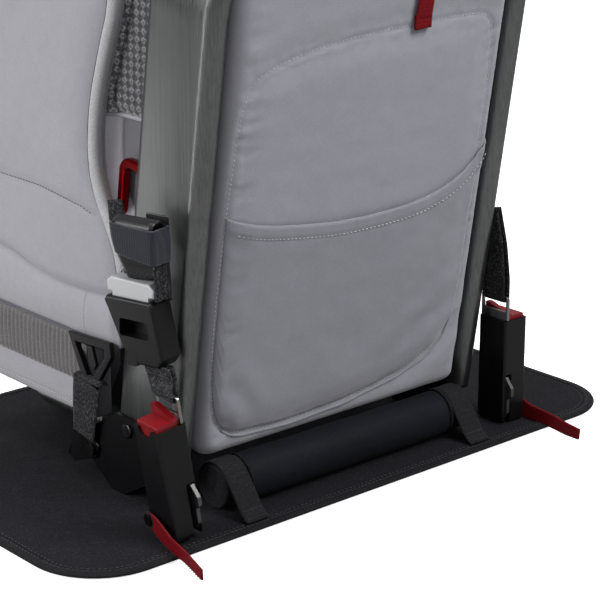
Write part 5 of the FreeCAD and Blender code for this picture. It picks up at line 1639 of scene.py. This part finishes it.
def edge_fn(X, Y, hw, y0, y1, R):
    d = np.minimum(np.minimum(X + hw, hw - X), np.minimum(Y - y0, y1 - Y))
    return np.sqrt(np.clip(1 - (1 - np.clip(d / R, 0, 1)) ** 2, 0, 1)), d


def build_cushions():
    # seat cushion: boxed, crowned, three sewn channels across
    y0, y1, hw = -287.0, -106.0, 146.0
    chan = (-240.0, -195.0, -150.0)

    def hwf(y):
        a = np.full(np.shape(y), 146.0)
        a = a - 10.0 * sm(-262, -290, y) ** 2
        return np.where(y > -142, np.minimum(a, 141.0), a)

    def topf(X, Y):
        e, d = edge_fn(X, Y, hwf(Y), y0, y1, 22.0)
        g = sum(np.exp(-((Y - c) / 3.0) ** 2) for c in chan)
        tuft = sum(np.exp(-((X - s * 88) / 3.0) ** 2) for s in (-1, 1)) * (Y > -300)
        return 118.0 + 21.0 * e + 3.2 * sm(0, 70, d) - 4.2 * g * sm(4, 14, d) - 3.0 * tuft * sm(4, 14, d)

    def botf(X, Y):
        e, d = edge_fn(X, Y, hwf(Y), y0, y1, 8.0)
        return 58.0 - 5.0 * e
    o = cushion("seat_cushion_pad", hwf, 110, y0, y1, 84, topf, botf, "seat", "seat", F, 0.004, replaces=("seat_cushion",), slot="seat_fabric")
    swell(o, 0.0035, 0.0055)
    # backrest cushion, in the leaned frame, facing forward
    u0, u1 = 118.0, 386.0

    def hwb(u):
        return rr_half(u, 116, 388, 30, 26, 148.0)

    def frontw(X, U):
        hh = hwb(U)
        e, d = edge_fn(X, U, hh, u0, u1, 20.0)
        g = sum(np.exp(-((U - c) / 3.0) ** 2) for c in (180.0, 240.0, 300.0))
        t = sum(np.exp(-((X - s * 78) / 3.0) ** 2) for s in (-1, 1))
        return -(40.0 + 14.5 * e + 2.8 * sm(0, 60, d) - 3.6 * g * sm(4, 14, d) - 2.6 * t * sm(4, 14, d))

    def rearw(X, U):
        return np.full(X.shape, -28.6)
    o = cushion("backrest_pad", hwb, 104, u0, u1, 96, frontw, rearw, "seat", "back_frame", lambda x, u, w: LN(x, w, u), 0.004, replaces=("backrest_cushion",), slot="seat_fabric")
    swell(o, 0.0030, 0.0055)


def build_headrest():
    # U-shaped padded cover round the shell: section swept along the U
    t_in, t_out = 5.0, 28.0
    path = []
    for k in range(13):
        path.append((-153.0 + 0.0, -190.0 + k * 6.6))
    corner = [(-153 + 30 * (1 - math.cos(a)), -110 + 28 * math.sin(a)) for a in np.linspace(0, math.pi / 2, 9)]
    full = [(-152.5, y) for y in np.linspace(-188, -116, 13)] + [(-152.5 + 34 * (1 - math.cos(a)), -116 + 34 * math.sin(a)) for a in np.linspace(0.12, math.pi / 2, 9)]
    full += [(x, -82.0) for x in np.linspace(-112, 112, 33)[1:-1]] + [(152.5 - 34 * (1 - math.cos(a)), -116 + 34 * math.sin(a)) for a in np.linspace(math.pi / 2, 0.12, 9)] + [(152.5, y) for y in np.linspace(-116, -188, 13)]
    full = resample(full, 5.0)
    T = np.gradient(full, axis=0)
    T /= np.linalg.norm(T, axis=1)[:, None]
    Nn = np.stack([-T[:, 1], T[:, 0]], 1)       # away from the child
    n = len(full)
    # section in (inward distance, height): rounded, thicker in the middle of each side
    U0, U1 = 441.0, 569.0
    sec = []
    for a in np.linspace(0, 2 * math.pi, 48, endpoint=False):
        ca, sa = math.cos(a), math.sin(a)
        p = 0.55
        sec.append((np.sign(ca) * abs(ca) ** p, np.sign(sa) * abs(sa) ** p))
    verts, faces = [], []
    s = np.r_[0, np.cumsum(np.linalg.norm(np.diff(full, axis=0), axis=1))]
    s = s / s[-1]
    for i in range(n):
        endk = float(sm(0, 0.03, s[i]) * sm(0, 0.03, 1 - s[i]))
        endk = math.sqrt(max(0.0, endk))
        thick = 15.5 + 2.0 * math.sin(s[i] * math.pi * 3) ** 2
        g = sum(math.exp(-((s[i] - c) / 0.006) ** 2) for c in (0.27, 0.5 - 0.13, 0.5 + 0.13, 0.73))
        for (a, b) in sec:
            inn = -14.5 + a * thick * (0.35 + 0.65 * endk) * (1 - 0.10 * g)
            if a > 0:
                inn = -14.5 + a * 14.5 * (0.35 + 0.65 * endk)
            h = (U0 + U1) / 2 + b * 62.5 * (0.82 + 0.18 * endk)
            if abs(b) > 0.98 and abs(a) < 0.9:
                h += 0.0
            q = full[i] + Nn[i] * inn * 1.0
            verts.append(LN(q[0], q[1], h))
    m = len(sec)
    for i in range(n - 1):
        for j in range(m):
            k = (j + 1) % m
            faces.append((i * m + j, i * m + k, (i + 1) * m + k, (i + 1) * m + j))
    faces.append(tuple(range(m))[::-1])
    faces.append(tuple((n - 1) * m + j for j in range(m)))
    o = obj("headrest_pad", verts, faces, "wing", "headrest", replaces=("headrest_cover",), slot="grey_fabric")
    swell(o, 0.0025, 0.0050, pressure=3.0)
    for b, nm in ((-0.999, "low"), (0.999, "high")):
        pts = []
        for i in range(2, n - 2):
            q = full[i] + Nn[i] * (-0.5)
            pts.append(LN(q[0], q[1], (U0 + U1) / 2 + b * 47.0))
        tube("headrest_piping_" + nm, pts, 0.0018, "knitpipe", "headrest", seg=8, slot="light_fabric")


build_cushions()
build_headrest()


# ------------------------------------------------------------------- harness
def build_harness():
    kids = []
    for sg, nm in ((1, "left"), (-1, "right")):
        x = sg * 39.0
        pts = [LN(x, -62.9, 370), LN(x, -62.9, 320), LN(x, -62.9, 250), LN(x, -62.9, 190), LN(x, -62.6, 127)]
        kw = {"replaces": ("harness_straps",), "slot": "black_webbing"} if sg == 1 else {"slot": "black_webbing"}
        kids.append(ribbon("harness_strap_" + nm, pts, 0.0255, 0.0022, (0, -CS, SN), "web", "back_frame", edge=0.0002, **kw))
        # shoulder pad
        us = np.linspace(255, 365, 34)
        c = np.linspace(-1, 1, 22)
        X = x + c[None, :] * 18.0 * np.ones((len(us), 1))
        U = np.repeat(us[:, None], len(c), 1)
        d = np.minimum(np.minimum(18.0 - np.abs(X - x), U - 255), 365 - U)
        e = np.sqrt(np.clip(1 - (1 - np.clip(d / 6.0, 0, 1)) ** 2, 0, 1))
        g = np.exp(-((d - 4.0) / 0.8) ** 2)
        Wf = -(65.6 + 7.2 * e - 0.9 * g + 0.8 * vnoise(X / 12, U / 14, 71))
        P = lean_arr(X, Wf, U)
        Q = lean_arr(X, np.full(X.shape, -64.7), U)
        v, f = closed_grid(P, Q)
        kw = {"replaces": ("shoulder_pads",), "slot": "seat_fabric"} if sg == 1 else {"slot": "seat_fabric"}
        p = obj("shoulder_pad_" + nm, v, f, "pad", "back_frame", **kw)
        kids.append(p)
    ribbon("crotch_strap_webbing", [F(0, -213, 148.2), F(0, -195, 148.4), F(0, -173.0, 148.2)], 0.0275, 0.0022, (0, 0, 1), "webblk", "seat", replaces=("crotch_strap",), slot="black_webbing")
    return kids


harness_kids = build_harness()

# ------------------------------------------------------------ folding pieces
for o in wing_kids:
    if o is not None:
        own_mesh(o)
for o in harness_kids:
    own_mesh(o)
